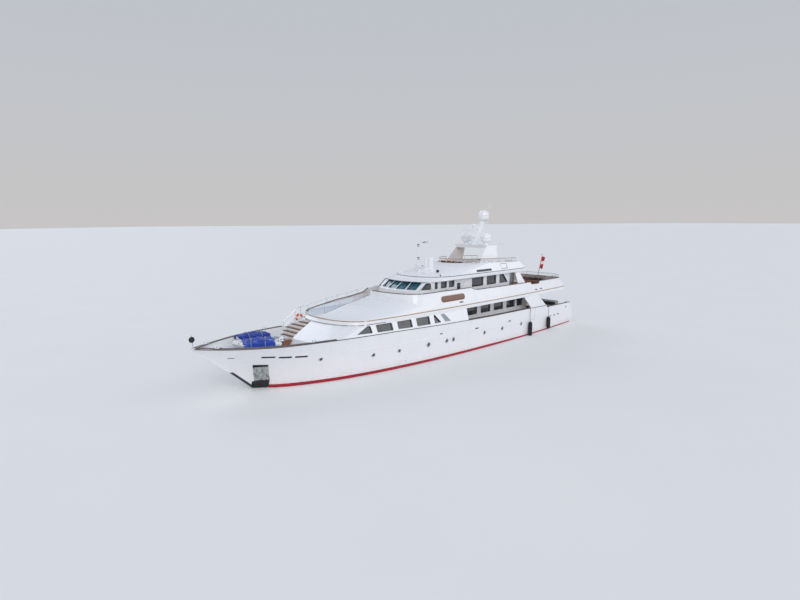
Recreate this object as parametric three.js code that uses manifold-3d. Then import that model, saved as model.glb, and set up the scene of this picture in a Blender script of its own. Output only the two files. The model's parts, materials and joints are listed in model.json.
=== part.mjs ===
import * as THREE from 'three';
import { mergeVertices } from 'three/addons/utils/BufferGeometryUtils.js';
import Module from 'manifold-3d';

// Motor yacht, three decks, as a 1:2 scale model. Every size below is in metres of the full-size
// yacht, and the root group turns it into millimetres of the model.
// +X points to the bow, +Y to port, +Z up, and Z = 0 is the waterline.

const MODEL_MM_PER_METRE = 500;
const GAP = 0.0006;      // 0.3 mm on the model, between pieces that touch
const RUNNING = 0.012;   // 6 mm on the model, around pieces that move

// Levels
const FOREDECK = 2.4;
const MAIN_DECK = 2.0;
const AFT_DECK = 1.5;
const UPPER_UNDER = 4.1;
const UPPER_DECK = 4.45;
const ROOF_UNDER = 6.7;
const ROOF_EDGE = 7.02;
const SUNDECK = 7.2;
const COAMING_TOP = 7.95;
const ARCH_TOP = 9.55;

// Wall thicknesses
const BULWARK = 0.14;
const SKIN = 0.02;       // how far the superstructure stands inside the hull's side
const WALL = 0.10;

// Lengthwise places
const STERN = -22.5;
const FORE_HOUSE_AFT = -1.7;
const SALOON_AFT = -13.25;
const LANDING_AFT = -13.9;
const AFT_DECK_END = -21.15;
const FOREDECK_AFT = 11.5;
const UPPER_HOUSE_AFT = -10.2;
const BRIDGE_AFT = 2.4;  // where the raised front of the upper bulwark ends and its side begins

const wasm = await Module();
wasm.setup();

// Solids

function signedVolume(position, index) {
  const [a, b, c] = [new THREE.Vector3(), new THREE.Vector3(), new THREE.Vector3()];
  let sum = 0;
  for (let i = 0; i < index.length; i += 3) {
    a.fromArray(position, 3 * index[i]);
    b.fromArray(position, 3 * index[i + 1]);
    c.fromArray(position, 3 * index[i + 2]);
    sum += a.dot(b.cross(c));
  }
  return sum;
}

function solid(geometry) {
  geometry.deleteAttribute('normal');
  geometry.deleteAttribute('uv');
  const merged = mergeVertices(geometry, 1e-5);
  const position = merged.attributes.position.array;
  const index = [];
  for (let i = 0; i < merged.index.count; i += 3) {
    const [a, b, c] = merged.index.array.slice(i, i + 3);
    if (a !== b && b !== c && a !== c) index.push(a, b, c);
  }
  if (signedVolume(position, index) < 0) index.reverse();
  const triVerts = new Uint32Array(index);
  return new wasm.Manifold(new wasm.Mesh({ numProp: 3, vertProperties: position, triVerts }));
}

function polyhedron(points, faces) {
  const geometry = new THREE.BufferGeometry();
  geometry.setAttribute('position', new THREE.Float32BufferAttribute(points.flat(), 3));
  geometry.setIndex(faces.flat());
  return solid(geometry);
}

const join = (first, ...others) => others.reduce((sum, piece) => sum.add(piece), first);
const cut = (body, ...tools) => tools.reduce((rest, tool) => rest.subtract(tool), body);

// The largest body of a cut, without the crumbs that a curved neighbour can leave
function largest(piece) {
  const bodies = piece.decompose();
  bodies.sort((a, b) => b.volume() - a.volume());
  return bodies[0];
}

// A piece cut back so that it stays a gap away from a neighbour, above it and beside it
function clearOf(piece, neighbour, moves = [[0, 0, 1], [0, 1, 0], [0, -1, 0], [1, 0, 0], [-1, 0, 0]]) {
  return largest(cut(piece, neighbour,
    ...moves.map((move) => neighbour.translate(move.map((m) => m * GAP)))));
}

function box(x0, x1, y0, y1, z0, z1) {
  const geometry = new THREE.BoxGeometry(x1 - x0, y1 - y0, z1 - z0);
  return solid(geometry.translate((x0 + x1) / 2, (y0 + y1) / 2, (z0 + z1) / 2));
}

// The same box on both sides of the centreline, as a pair of tools
const boxPair = (x0, x1, y0, y1, z0, z1) =>
  join(box(x0, x1, y0, y1, z0, z1), box(x0, x1, -y1, -y0, z0, z1));

function rod(from, to, radius, sides = 10, endRadius = radius) {
  const start = new THREE.Vector3(...from);
  const end = new THREE.Vector3(...to);
  const geometry = new THREE.CylinderGeometry(endRadius, radius, start.distanceTo(end), sides);
  const direction = end.clone().sub(start).normalize();
  geometry.applyQuaternion(new THREE.Quaternion().setFromUnitVectors(new THREE.Vector3(0, 1, 0),
    direction));
  const middle = start.add(end).multiplyScalar(0.5);
  return solid(geometry.translate(middle.x, middle.y, middle.z));
}

// A turned solid about a vertical axis, from pairs of radius and height
function turned(profile, x, y, z, sides = 16) {
  const geometry = new THREE.LatheGeometry(profile.map(([r, h]) => new THREE.Vector2(r, h)), sides);
  return solid(geometry.rotateX(Math.PI / 2).translate(x, y, z));
}

function ball(x, y, z, radius, sides = 12) {
  return solid(new THREE.SphereGeometry(radius, sides, Math.ceil(sides / 2)).translate(x, y, z));
}

const PLANES = {
  plan: new THREE.Matrix4(),
  side: new THREE.Matrix4().set(1, 0, 0, 0, 0, 0, 1, 0, 0, 1, 0, 0, 0, 0, 0, 1),
  front: new THREE.Matrix4().set(0, 0, 1, 0, 1, 0, 0, 0, 0, 1, 0, 0, 0, 0, 0, 1),
};

// A flat outline drawn in plan (x, y), from the side (x, z) or from the front (y, z), and
// given its thickness along the third axis
function prism(plane, outline, from, to) {
  const shape = new THREE.Shape(outline.map(([u, v]) => new THREE.Vector2(u, v)));
  const geometry = new THREE.ExtrudeGeometry(shape, { depth: to - from, bevelEnabled: false });
  return solid(geometry.translate(0, 0, from).applyMatrix4(PLANES[plane]));
}

const sidePair = (outline, y0, y1) =>
  join(prism('side', outline, y0, y1), prism('side', outline, -y1, -y0));

// A closed solid through level outlines with equal point counts, lowest first
function stack(given) {
  const flat = (level) => level.map(([x, y]) => new THREE.Vector2(x, y));
  const clockwise = THREE.ShapeUtils.area(flat(given[0])) < 0;
  const levels = clockwise ? given.map((level) => [...level].reverse()) : given;
  const count = levels[0].length;
  const faces = [];
  for (let level = 0; level + 1 < levels.length; level++) {
    for (let i = 0; i < count; i++) {
      const low = level * count;
      const next = (i + 1) % count;
      faces.push([low + i, low + next, low + count + next]);
      faces.push([low + i, low + count + next, low + count + i]);
    }
  }
  const last = (levels.length - 1) * count;
  for (const [a, b, c] of THREE.ShapeUtils.triangulateShape(flat(levels[0]), [])) faces.push([c, b, a]);
  for (const [a, b, c] of THREE.ShapeUtils.triangulateShape(flat(levels.at(-1)), [])) {
    faces.push([last + a, last + b, last + c]);
  }
  return polyhedron(levels.flat(), faces);
}

// A solid through mirrored cross-sections: each is { x, half }, with half a list of [y, z] from
// the bottom on the centreline to the outer top
function ribLoft(sections) {
  const half = sections[0].half.length;
  const count = 2 * half;
  const points = sections.flatMap(({ x, half: rib }) => [
    ...rib.map(([y, z]) => [x, y, z]),
    ...rib.map(([y, z]) => [x, -y, z]).reverse(),
  ]);
  const faces = [];
  for (let s = 0; s + 1 < sections.length; s++) {
    for (let i = 0; i < count; i++) {
      const a = s * count + i;
      const b = s * count + (i + 1) % count;
      faces.push([a, b, b + count], [a, b + count, a + count]);
    }
  }
  const cap = (start, flip) => {
    for (let i = 0; i + 1 < half; i++) {
      const [a, b, c, d] = [start + i, start + i + 1, start + count - 2 - i, start + count - 1 - i];
      faces.push(flip ? [a, c, b] : [a, b, c], flip ? [a, d, c] : [a, c, d]);
    }
  };
  cap(0, true);
  cap((sections.length - 1) * count, false);
  return polyhedron(points, faces);
}

// A smooth value along x through one column of a table whose rows run from bow to stern
function along(rows, column) {
  const slope = (i) => {
    const before = rows[Math.max(i - 1, 0)];
    const after = rows[Math.min(i + 1, rows.length - 1)];
    return (after[column] - before[column]) / (after.x - before.x);
  };
  return (x) => {
    if (x >= rows[0].x) return rows[0][column];
    if (x <= rows.at(-1).x) return rows.at(-1)[column];
    const i = rows.findIndex((row, n) => x <= row.x && x >= rows[n + 1].x);
    const [a, b] = [rows[i], rows[i + 1]];
    const span = b.x - a.x;
    const t = (x - a.x) / span;
    const [t2, t3] = [t * t, t * t * t];
    return (2 * t3 - 3 * t2 + 1) * a[column] + (t3 - 2 * t2 + t) * span * slope(i)
      + (3 * t2 - 2 * t3) * b[column] + (t3 - t2) * span * slope(i + 1);
  };
}

const steps = (from, to, count) => Array.from({ length: count + 1 },
  (_, i) => from + (to - from) * i / count);

// Hull lines: base is the stem or keel height, water and sheer are half-breadths at the
// waterline and at the sheer, top is the sheer's height, flare is above 1 where the bow is
// hollow, and bilge is small where the bottom is full
const HULL_LINES = [
  { x: 22.50, base: 3.55, water: 0.00, sheer: 0.08, top: 3.72, flare: 1.40, bilge: 1.3 },
  { x: 22.00, base: 3.30, water: 0.00, sheer: 0.50, top: 3.66, flare: 1.40, bilge: 1.3 },
  { x: 21.00, base: 2.53, water: 0.00, sheer: 1.22, top: 3.60, flare: 1.40, bilge: 1.3 },
  { x: 19.80, base: 1.55, water: 0.00, sheer: 1.97, top: 3.55, flare: 1.38, bilge: 1.3 },
  { x: 18.00, base: 0.00, water: 0.00, sheer: 2.86, top: 3.50, flare: 1.34, bilge: 1.3 },
  { x: 16.50, base: -1.25, water: 1.22, sheer: 3.32, top: 3.47, flare: 1.28, bilge: 1.2 },
  { x: 14.00, base: -2.00, water: 2.35, sheer: 3.78, top: 3.43, flare: 1.18, bilge: 1.1 },
  { x: 11.00, base: -2.26, water: 3.18, sheer: 4.10, top: 3.37, flare: 1.08, bilge: 0.9 },
  { x: 7.00, base: -2.30, water: 3.80, sheer: 4.32, top: 3.29, flare: 1.00, bilge: 0.72 },
  { x: 2.00, base: -2.30, water: 4.20, sheer: 4.43, top: 3.13, flare: 1.00, bilge: 0.6 },
  { x: -5.00, base: -2.30, water: 4.32, sheer: 4.45, top: 2.98, flare: 1.00, bilge: 0.55 },
  { x: -11.00, base: -2.12, water: 4.16, sheer: 4.36, top: 2.92, flare: 1.00, bilge: 0.55 },
  { x: -15.40, base: -1.42, water: 3.88, sheer: 4.16, top: 2.80, flare: 1.00, bilge: 0.55 },
  { x: -19.00, base: -0.82, water: 3.58, sheer: 3.92, top: 2.74, flare: 1.00, bilge: 0.55 },
  { x: -22.50, base: -0.34, water: 3.25, sheer: 3.66, top: 2.66, flare: 1.00, bilge: 0.6 },
];
const line = Object.fromEntries(
  Object.keys(HULL_LINES[0]).map((column) => [column, along(HULL_LINES, column)]));
const LOW_RIB = 6;         // points of a rib below the waterline
const HIGH_RIB = 6;        // and above it
const STEM_SHARE = 0.18;   // share of a bow rib that continues the underwater points

function rib(x, inset = 0, lift = 0) {
  const [base, water, sheer, top] = [line.base(x), line.water(x), line.sheer(x), line.top(x)];
  const [flare, bilge] = [line.flare(x), line.bilge(x)];
  const half = [];
  for (let i = 0; i <= LOW_RIB; i++) {
    const angle = (i / LOW_RIB) * Math.PI / 2;
    const u = STEM_SHARE * i / LOW_RIB;
    half.push(base < 0
      ? [water * Math.sin(angle) ** bilge, base * Math.cos(angle) ** (0.6 + 0.4 * bilge)]
      : [sheer * u ** flare, base + (top - base) * u]);
  }
  for (let i = 1; i <= HIGH_RIB; i++) {
    const v = i / HIGH_RIB;
    const u = STEM_SHARE + (1 - STEM_SHARE) * v;
    half.push(base < 0
      ? [water + (sheer - water) * v ** flare, top * v]
      : [sheer * u ** flare, base + (top - base) * u]);
  }
  half[0][0] = 0;
  if (inset !== 0) {
    half.forEach((point, i) => {
      point[0] = Math.max(point[0] - inset, 0.002 * i);
      point[1] += 1.6 * inset * (1 - i / half.length);
    });
    half.at(-1)[1] += lift;
  }
  return { x, half };
}

// The hull's half-breadth at a height above the waterline, at or aft of the stem's foot
const hullSide = (x, z) =>
  line.water(x) + (line.sheer(x) - line.water(x)) * Math.min(z / line.top(x), 1) ** line.flare(x);

const HULL_STATIONS = [
  ...steps(22.5, 18.0, 9), ...steps(17.4, 8.0, 14), ...steps(7.0, -14.0, 10),
  ...steps(-15.3, STERN, 6),
];

// Transom: a raked plane from the aft bulwark's top down to the swim platform
const TRANSOM_TOP = { x: -21.35, z: 2.45 };
const TRANSOM_FOOT = { x: STERN + 0.02, z: 0.5 };
const RAKE = Math.atan2(TRANSOM_TOP.x - TRANSOM_FOOT.x, TRANSOM_TOP.z - TRANSOM_FOOT.z);
const alongTransom = (down, out) => [
  TRANSOM_TOP.x - down * Math.sin(RAKE) - out * Math.cos(RAKE),
  TRANSOM_TOP.z - down * Math.cos(RAKE) + out * Math.sin(RAKE),
];
const transomPanel = (down0, down1, out0, out1, half) => prism('side', [
  alongTransom(down0, out0), alongTransom(down1, out0), alongTransom(down1, out1),
    alongTransom(down0, out1),
], -half, half);
const TRANSOM_DOOR = { top: 0.55, bottom: 1.80, half: 1.35, thick: 0.07 };
const BOARDING_STEPS = { inner: 2.2, outer: 3.05, count: 4, run: 0.32, rise: 0.25 };

// The aft bulwark is lower than the side decks' bulwark
const AFT_BULWARK = { from: -15.5, top: 2.56, endTop: 2.42 };
const ENGINE_ROOM = { fore: -3.6, aft: -9.4, half: 2.6, floor: -1.3 };
// The anchor pockets' outline, as seen from the side
const ANCHOR_POCKET = [[17.53, 1.97], [18.50, 2.04], [17.97, 0.63], [17.95, 0.05], [17.10, 0.05],
  [17.12, 0.66]];

function boardingSteps() {
  const { inner, outer, count, run, rise } = BOARDING_STEPS;
  const treads = steps(0, count - 1, count - 1).map((n) =>
    boxPair(-24, AFT_DECK_END - run * n, inner, outer, AFT_DECK - rise * n, 3));
  return join(...treads);
}

// The hull up to the aft deck's level, the main deck and foredeck on it, and the bulwark that
// stands on both from the bow to the aft deck's end
function hullPieces() {
  const outer = ribLoft(HULL_STATIONS.map((x) => rib(x)));
  const inside = ribLoft(HULL_STATIONS.filter((x) => line.sheer(x) > 2 * BULWARK)
    .map((x) => rib(x, BULWARK, 1)));
  const well = (fore, aft, floor) => inside.intersect(box(aft, fore, -6, 6, floor, 6));
  const { fore, aft, half, floor } = ENGINE_ROOM;
  const stepAft = LANDING_AFT - 0.2;
  const body = cut(outer,
    well(21.9, FOREDECK_AFT, FOREDECK),
    well(FOREDECK_AFT + 0.1, LANDING_AFT, MAIN_DECK),
    well(LANDING_AFT + 0.1, stepAft - 0.1, (MAIN_DECK + AFT_DECK) / 2),
    well(stepAft, AFT_DECK_END, AFT_DECK),
    prism('side', [[AFT_BULWARK.from, AFT_BULWARK.top], [-24, AFT_BULWARK.endTop - 0.03],
      [-24, 4], [AFT_BULWARK.from, 4]], -6, 6),
    prism('side', [[TRANSOM_TOP.x, TRANSOM_TOP.z], [TRANSOM_FOOT.x, TRANSOM_FOOT.z], [-24, 0.5],
      [-24, 4], [TRANSOM_TOP.x, 4]], -6, 6),
    boardingSteps(),
    ...[1, -1].map((side) => rod([RUDDER.x, side * RUDDER.y, -2],
      [RUDDER.x, side * RUDDER.y, STOCK.top + GAP],
      STOCK.radius + RUNNING, 12)),
    transomPanel(TRANSOM_DOOR.top - RUNNING, TRANSOM_DOOR.bottom + RUNNING,
      -TRANSOM_DOOR.thick - GAP, 0.5, TRANSOM_DOOR.half + RUNNING),
  );
  const above = (lift) => join(
    box(FOREDECK_AFT, 23, -6, 6, FOREDECK + lift, 6),
    box(stepAft, FOREDECK_AFT, -6, 6, MAIN_DECK + lift, 6),
    box(AFT_DECK_END, stepAft, -6, 6, AFT_DECK + lift, 6));
  const decks = body.intersect(box(stepAft, 23, -6, 6, AFT_DECK + GAP, 6));
  return {
    hull: largest(cut(body, box(AFT_DECK_END - GAP, 23, -6, 6, AFT_DECK, 6),
      box(aft, fore, -half, half, floor, 3))),
    deck: largest(cut(decks, above(0))),
    sides: largest(body.intersect(above(GAP))),
  };
}

// Superstructure outlines. Each is the port half from the bow's centreline to the stern's, and
// whole() mirrors it.

const whole = (half) => {
  const port = half.map(([x, y, z]) => [x, y, z]);
  const starboard = half.filter(([, y]) => y > 0).map(([x, y, z]) => [x, -y, z]).reverse();
  return [...port, ...starboard];
};

// A rounded end: from (tip, 0) on the centreline out to (side, half)
function roundEnd(tip, side, half, power, count = 7) {
  return steps(0, 1, count).map((t) => {
    const angle = t * Math.PI / 2;
    return [side + (tip - side) * Math.cos(angle) ** power, half * Math.sin(angle)];
  });
}

const atHeight = (outline, z) => outline.map(([x, y]) => [x, y, z]);

// Half-breadth of the upper deck's edge along its straight sides
const UPPER_EDGE = [
  { x: 9.5, half: 3.88 },
  { x: 6.5, half: 4.10 },
  { x: 2.0, half: 4.20 },
  { x: -5.0, half: 4.20 },
  { x: -11.0, half: 4.08 },
  { x: -16.0, half: 3.84 },
  { x: -19.4, half: 3.60 },
];
const upperHalf = along(UPPER_EDGE, 'half');
const MOULDING = 0.03;   // how far the upper deck's edge stands proud of what is above it

function upperOutline({ tip, foreSide, aftSide, aftTip, inset, lean = 0 }) {
  const y = (x) => upperHalf(x) - inset - lean;
  const sides = steps(foreSide, aftSide, 14).slice(1, -1).map((x) => [x, y(x)]);
  return [
    ...roundEnd(tip, foreSide, y(foreSide), 0.75),
    ...sides,
    ...roundEnd(aftTip, aftSide, y(aftSide), 0.45).reverse(),
  ];
}

const UPPER_PLAN = { tip: 11.72, foreSide: 9.4, aftSide: -19.3, aftTip: -20.95 };

// Forward house: full beam, its front sloping back from the foredeck
const FORE_HOUSE_LEVELS = [
  // height, front on the centreline, where the front meets the side, and the front's roundness
  { z: () => 2.3, tip: 13.88, side: 13.0, power: 0.8, half: (x) => hullSide(x, 2.3) - SKIN },
  { z: () => 2.95, tip: 13.80, side: 12.9, power: 0.8, half: (x) => hullSide(x, 2.95) - SKIN },
  { z: (x) => line.top(x), tip: 13.10, side: 12.2, power: 0.7, half: (x) => line.sheer(x) - SKIN },
  { z: () => UPPER_UNDER - GAP, tip: 11.92, side: 9.5, power: 0.75, half: (x) => upperHalf(x) - 0.05 },
];

function foreHouseShape(inset, aft) {
  const levels = FORE_HOUSE_LEVELS.map(({ z, tip, side, power, half }) => {
    const outline = [
      ...roundEnd(tip - 2 * inset, side - inset, half(side) - inset, power, 8),
      ...steps(side - inset, 6.0, 5).slice(1).map((x) => [x, half(x) - inset]),
      ...steps(6.0, aft, 7).slice(1).map((x) => [x, half(x) - inset]),
      [aft, 0],
    ];
    return whole(outline.map(([x, y]) => [x, y, z(x)]));
  });
  if (inset) levels.push(levels.at(-1).map(([x, y, z]) => [x, y, z + 0.2]));
  return stack(levels);
}

// Side windows as outlines seen from the side, (x, z)
const rectangle = (fore, aft, low, high) => [[fore, low], [fore, high], [aft, high], [aft, low]];
const FORE_WINDOWS = [
  [[11.20, 3.54], [10.02, 4.02], [9.72, 4.02], [9.72, 3.48]],
  [[9.22, 3.46], [9.22, 4.02], [7.60, 4.02], [7.60, 3.42]],
  [[7.05, 3.42], [7.05, 4.02], [5.46, 4.02], [5.46, 3.37]],
  [[4.93, 3.37], [4.93, 4.02], [3.34, 4.02], [3.34, 3.32]],
  [[2.80, 3.32], [2.80, 4.02], [2.62, 4.02], [1.98, 3.32]],
];
const SALOON_WINDOWS = [[-2.85, -4.70], [-5.30, -6.82], [-7.42, -8.95], [-9.55, -11.02], [-11.38, -12.35]]
  .map(([fore, aft]) => rectangle(fore, aft, 3.05, 3.95));
const WHEELHOUSE_WINDOWS = [
  [[2.98, 6.02], [2.18, 6.60], [1.66, 6.60], [1.66, 6.02]],
  rectangle(1.20, 0.82, 6.00, 6.60),
  rectangle(0.38, -0.42, 6.00, 6.60),
  rectangle(-0.72, -1.48, 6.00, 6.60),
];
const LOUNGE_WINDOWS = [
  rectangle(-4.06, -5.84, 5.72, 6.60),
  rectangle(-6.37, -7.92, 5.72, 6.60),
  [[-8.48, 5.72], [-8.48, 6.60], [-9.16, 6.60], [-9.92, 5.72]],
];

// The walkway on the starboard side: steps up the house's sloping front, then the upper deck's
// level beside the coach roof, as far as the bridge
const WALKWAY = { inner: 0.95, aftInner: 1.4, floor: 4.52, thick: 0.12 };
const STAIR = { fore: 13.7, run: 0.33, rise: 0.24, count: 7 };

// The outer wall beside the steps, in plan and from the side
const STAIR_WALL = [[11.0, 3.50], [11.5, 3.60], [12.0, 3.73], [12.72, 3.93]];
const STAIR_WALL_TOP = [[10.98, 4.44], [11.5, 4.26], [11.72, 4.18], [12.42, 3.5], [12.74, 3.36],
  [12.74, 2.5], [10.98, 2.5]];

function stairWall() {
  const inner = STAIR_WALL.map(([x, y]) => [x, WALKWAY.thick - y]).reverse();
  const band = prism('plan', [...STAIR_WALL.map(([x, y]) => [x, -y]), ...inner], 2.5, 5);
  return band.intersect(prism('side', STAIR_WALL_TOP, -6, 6));
}

// The steps' room above their treads: grow widens it all round, to leave walls of that thickness
function stairRoom(grow) {
  const { fore, run, rise, count } = STAIR;
  const outer = [...STAIR_WALL.map(([x, y]) => [x, -y + WALKWAY.thick - grow]), [12.76, -6], [15, -6]];
  const plan = [[10.90 - grow, -WALKWAY.inner + grow], [10.90 - grow, outer[0][1]], ...outer,
    [15, -WALKWAY.inner + grow]];
  const room = prism('plan', plan, FOREDECK - grow, 7);
  const stair = steps(1, count, count - 1).map((n) =>
    box(0, fore - run * (n - 1) - grow, -6, 0.5, 0, FOREDECK + rise * n - grow));
  return cut(room, ...stair);
}

function foreHouse(deck, sides) {
  const wall = stairWall();
  const outer = join(cut(foreHouseShape(0, FORE_HOUSE_AFT), stairRoom(0)), wall);
  const inner = cut(foreHouseShape(WALL, FORE_HOUSE_AFT + WALL), stairRoom(WALL), wall);
  const walls = cut(outer, inner, houseDoorway(), ...FORE_WINDOWS.map((window) => sidePair(window, 3.0,
    5)));
  return clearOf(clearOf(walls, deck), sides);
}

// The doorway between the fore house and the saloon
const houseDoorway = () => box(FORE_HOUSE_AFT - 0.5, FORE_HOUSE_AFT + 0.5, -0.45, 0.45, MAIN_DECK + 0.06,
  3.85);

// Coach roof: the crowned surface between the upper deck's front edge and the bridge bulwark
const COACH_CROWN = [
  { x: 11.66, top: 4.47, edge: 2.0 },
  { x: 11.00, top: 4.50, edge: 2.0 },
  { x: 10.00, top: 4.66, edge: 2.0 },
  { x: 9.00, top: 4.87, edge: 2.1 },
  { x: 8.00, top: 5.07, edge: 2.2 },
  { x: 7.00, top: 5.22, edge: 2.4 },
  { x: 6.00, top: 5.38, edge: 2.9 },
  { x: 5.30, top: 5.50, edge: 3.6 },
  { x: 4.00, top: 5.62, edge: 5.2 },
  { x: 2.40, top: 5.70, edge: 7.0 },
];
const BRIDGE_RIM = 5.9;
const bridgeRim = (inset) => [
  ...roundEnd(5.2 - inset, 3.0, 3.86 - inset, 0.55, 9), [BRIDGE_AFT - 1, 3.86 - inset], [BRIDGE_AFT - 1, 0],
];
const bridgeFoot = [
  ...roundEnd(5.5, 3.3, 4.14, 0.55, 9), [BRIDGE_AFT - 1, 4.14], [BRIDGE_AFT - 1, 0],
];

function coachRoof() {
  const top = along(COACH_CROWN, 'top');
  const edge = along(COACH_CROWN, 'edge');
  const plan = upperOutline({ ...UPPER_PLAN, inset: MOULDING });
  const front = plan.filter(([x, y]) => x > 9.4 && y > 0);
  const halfAt = (x) => {
    if (x <= 9.4) return upperHalf(x) - MOULDING;
    const i = front.findIndex(([px]) => px <= x);
    if (i <= 0) return front[0][1] * (x > front[0][0] ? 0.6 : 1);
    const [a, b] = [front[i - 1], front[i]];
    return a[1] + (b[1] - a[1]) * (x - a[0]) / (b[0] - a[0]);
  };
  const stations = [11.66, 11.5, 11.2, 10.8, 10.2, ...steps(9.6, 4.0, 14), 3.2, BRIDGE_AFT];
  const sections = stations.map((x) => {
    const half = halfAt(x);
    const points = steps(1, 0, 10).map((u) => {
      const s = Math.sin(u * Math.PI / 2);
      return [half * s, UPPER_DECK + GAP + (top(x) - UPPER_DECK - GAP) * (1 - s ** edge(x)) ** 0.6];
    });
    points[0][1] = UPPER_DECK + GAP;
    return { x, half: [[0, UPPER_DECK + GAP], [half, UPPER_DECK + GAP], ...points.slice(1, -1),
      [0, top(x)]] };
  });
  const bridge = stack([
    whole(atHeight(bridgeFoot, UPPER_DECK + GAP)), whole(atHeight(bridgeRim(0), BRIDGE_RIM))]);
  const bridgeWell = stack([
    whole(atHeight(bridgeRim(0.05), UPPER_DECK)), whole(atHeight(bridgeRim(0.14), BRIDGE_RIM + 0.5))]);
  const { inner, aftInner, floor } = WALKWAY;
  const room = prism('plan', [[13, -inner], [10.5, -inner], [5, -aftInner], [1.5, -aftInner], [1.5, -6],
    [13, -6]], floor, 7);
  const body = cut(join(ribLoft(sections), bridge.intersect(box(BRIDGE_AFT, 8, -5, 5, 4, 7))), bridgeWell,
    room);
  return largest(join(body, walkwayWall()));
}

// Upper bulwark from the bridge aft and around the stern
const RIM_LINE = [
  [3, 5.9], [-2.55, 5.86], [-2.9, 5.8], [-3.2, 5.66], [-3.6, 5.6], [-12.85, 5.5], [-12.95, 5.26],
  [-14.4, 5.22], [-14.65, 5.46], [-21.5, 5.4], [-21.5, 7], [3, 7],
];

// The upper bulwark leans in from its foot to the height its outlines are drawn at
const LEAN = { foot: UPPER_DECK + GAP, head: 6.0, inward: 0.36, aftSide: -17.7, aftTip: -19.65 };

function bulwarkOutline(z, inset) {
  const share = (z - LEAN.foot) / (LEAN.head - LEAN.foot);
  const low = upperOutline({ ...UPPER_PLAN, aftTip: UPPER_PLAN.aftTip + inset, inset: MOULDING + inset });
  const high = upperOutline({ ...UPPER_PLAN, aftSide: LEAN.aftSide, aftTip: LEAN.aftTip + inset,
    inset: MOULDING + inset, lean: LEAN.inward });
  return whole(low.map(([x, y], i) => [x + (high[i][0] - x) * share, y + (high[i][1] - y) * share, z]));
}

const bulwarkRing = (thick) =>
  cut(stack([bulwarkOutline(LEAN.foot, 0), bulwarkOutline(LEAN.head, 0)]),
    stack([bulwarkOutline(LEAN.foot - 0.1, thick), bulwarkOutline(LEAN.head + 0.1, thick)]));

function upperBulwark() {
  return largest(cut(bulwarkRing(BULWARK), box(BRIDGE_AFT - GAP, 12, -6, 6, 4, 7),
    prism('side', RIM_LINE, -6, 6)));
}

// The walkway's outer wall carries the bulwark's line forward and falls towards the steps
const WALKWAY_RIM = [[BRIDGE_AFT, 5.88], [3.25, 5.76], [3.85, 5.4], [5.45, 5.16], [7.2, 5.0], [9.06, 4.72],
  [10.2, 4.56], [10.86, 4.5]];

function walkwayWall() {
  const below = [...WALKWAY_RIM, [10.86, 4], [BRIDGE_AFT, 4]];
  return bulwarkRing(BULWARK).intersect(box(BRIDGE_AFT, 10.86, -6, -2.5, 4, 7)).intersect(prism('side',
    below, -6, 6));
}

// Upper house: wheelhouse forward with raked windows, sky lounge aft
const UPPER_HOUSE_HALF = 2.85;
const UPPER_HOUSE_FRONTS = [
  { z: UPPER_DECK + GAP, front: [[3.75, 0], [3.62, 1.15], [3.28, 2.28], [3.1, 2.68], [2.6, 2.85]] },
  { z: 5.92, front: [[3.50, 0], [3.36, 1.15], [3.02, 2.28], [2.88, 2.68], [2.6, 2.85]] },
  { z: ROOF_UNDER - GAP, front: [[2.28, 0], [2.16, 1.08], [1.92, 2.24], [1.82, 2.64], [1.6, 2.85]] },
];
const WHEELHOUSE_PANES = [
  [[0.05, 6.0], [1.10, 6.0], [1.02, 6.60], [0.05, 6.60]],
  [[1.20, 6.0], [2.18, 6.0], [2.14, 6.60], [1.12, 6.60]],
];
const LOUNGE_DOOR = { half: 0.5, low: UPPER_DECK + 0.03, high: 6.45, thick: 0.05 };
const WING_DOOR = { fore: -1.75, aft: -2.5, low: UPPER_DECK + 0.14, high: 6.42, thick: 0.06 };

function upperHouseShape(inset) {
  return stack(UPPER_HOUSE_FRONTS.map(({ z, front }, level) => {
    const shift = inset * (level ? 1.7 : 1.1);
    const half = [
      ...front.map(([x, y]) => [x - shift, Math.max(y - inset, y ? 0.3 : 0)]),
      [0, UPPER_HOUSE_HALF - inset], [UPPER_HOUSE_AFT + inset, UPPER_HOUSE_HALF - inset],
      [UPPER_HOUSE_AFT + inset, 0],
    ];
    const lift = inset ? [-0.1, 0, 0.1][level] : 0;
    return whole(atHeight(half, z + lift));
  }));
}

function upperHouse() {
  const panes = WHEELHOUSE_PANES.map((pane) =>
    join(prism('front', pane, 1.0, 5), prism('front', pane.map(([y, z]) => [-y, z]), 1.0, 5)));
  const { half, low, high } = LOUNGE_DOOR;
  const wing = WING_DOOR;
  return largest(cut(
    join(cut(upperHouseShape(0), upperHouseShape(WALL)),
      box(UPPER_HOUSE_AFT - 0.08, UPPER_HOUSE_AFT, -1.75, 1.75, high + GAP, high + 0.08)),
    ...panes,
    ...[...WHEELHOUSE_WINDOWS, ...LOUNGE_WINDOWS].map((window) => sidePair(window, 2.5, 3.2)),
    box(UPPER_HOUSE_AFT - 0.01, UPPER_HOUSE_AFT + 0.5, -half + 0.03, half - 0.03, low, high - 0.04),
    boxPair(wing.aft - RUNNING, wing.fore + RUNNING, 2.5, 3.2, wing.low - RUNNING, wing.high + RUNNING),
  ));
}

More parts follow.
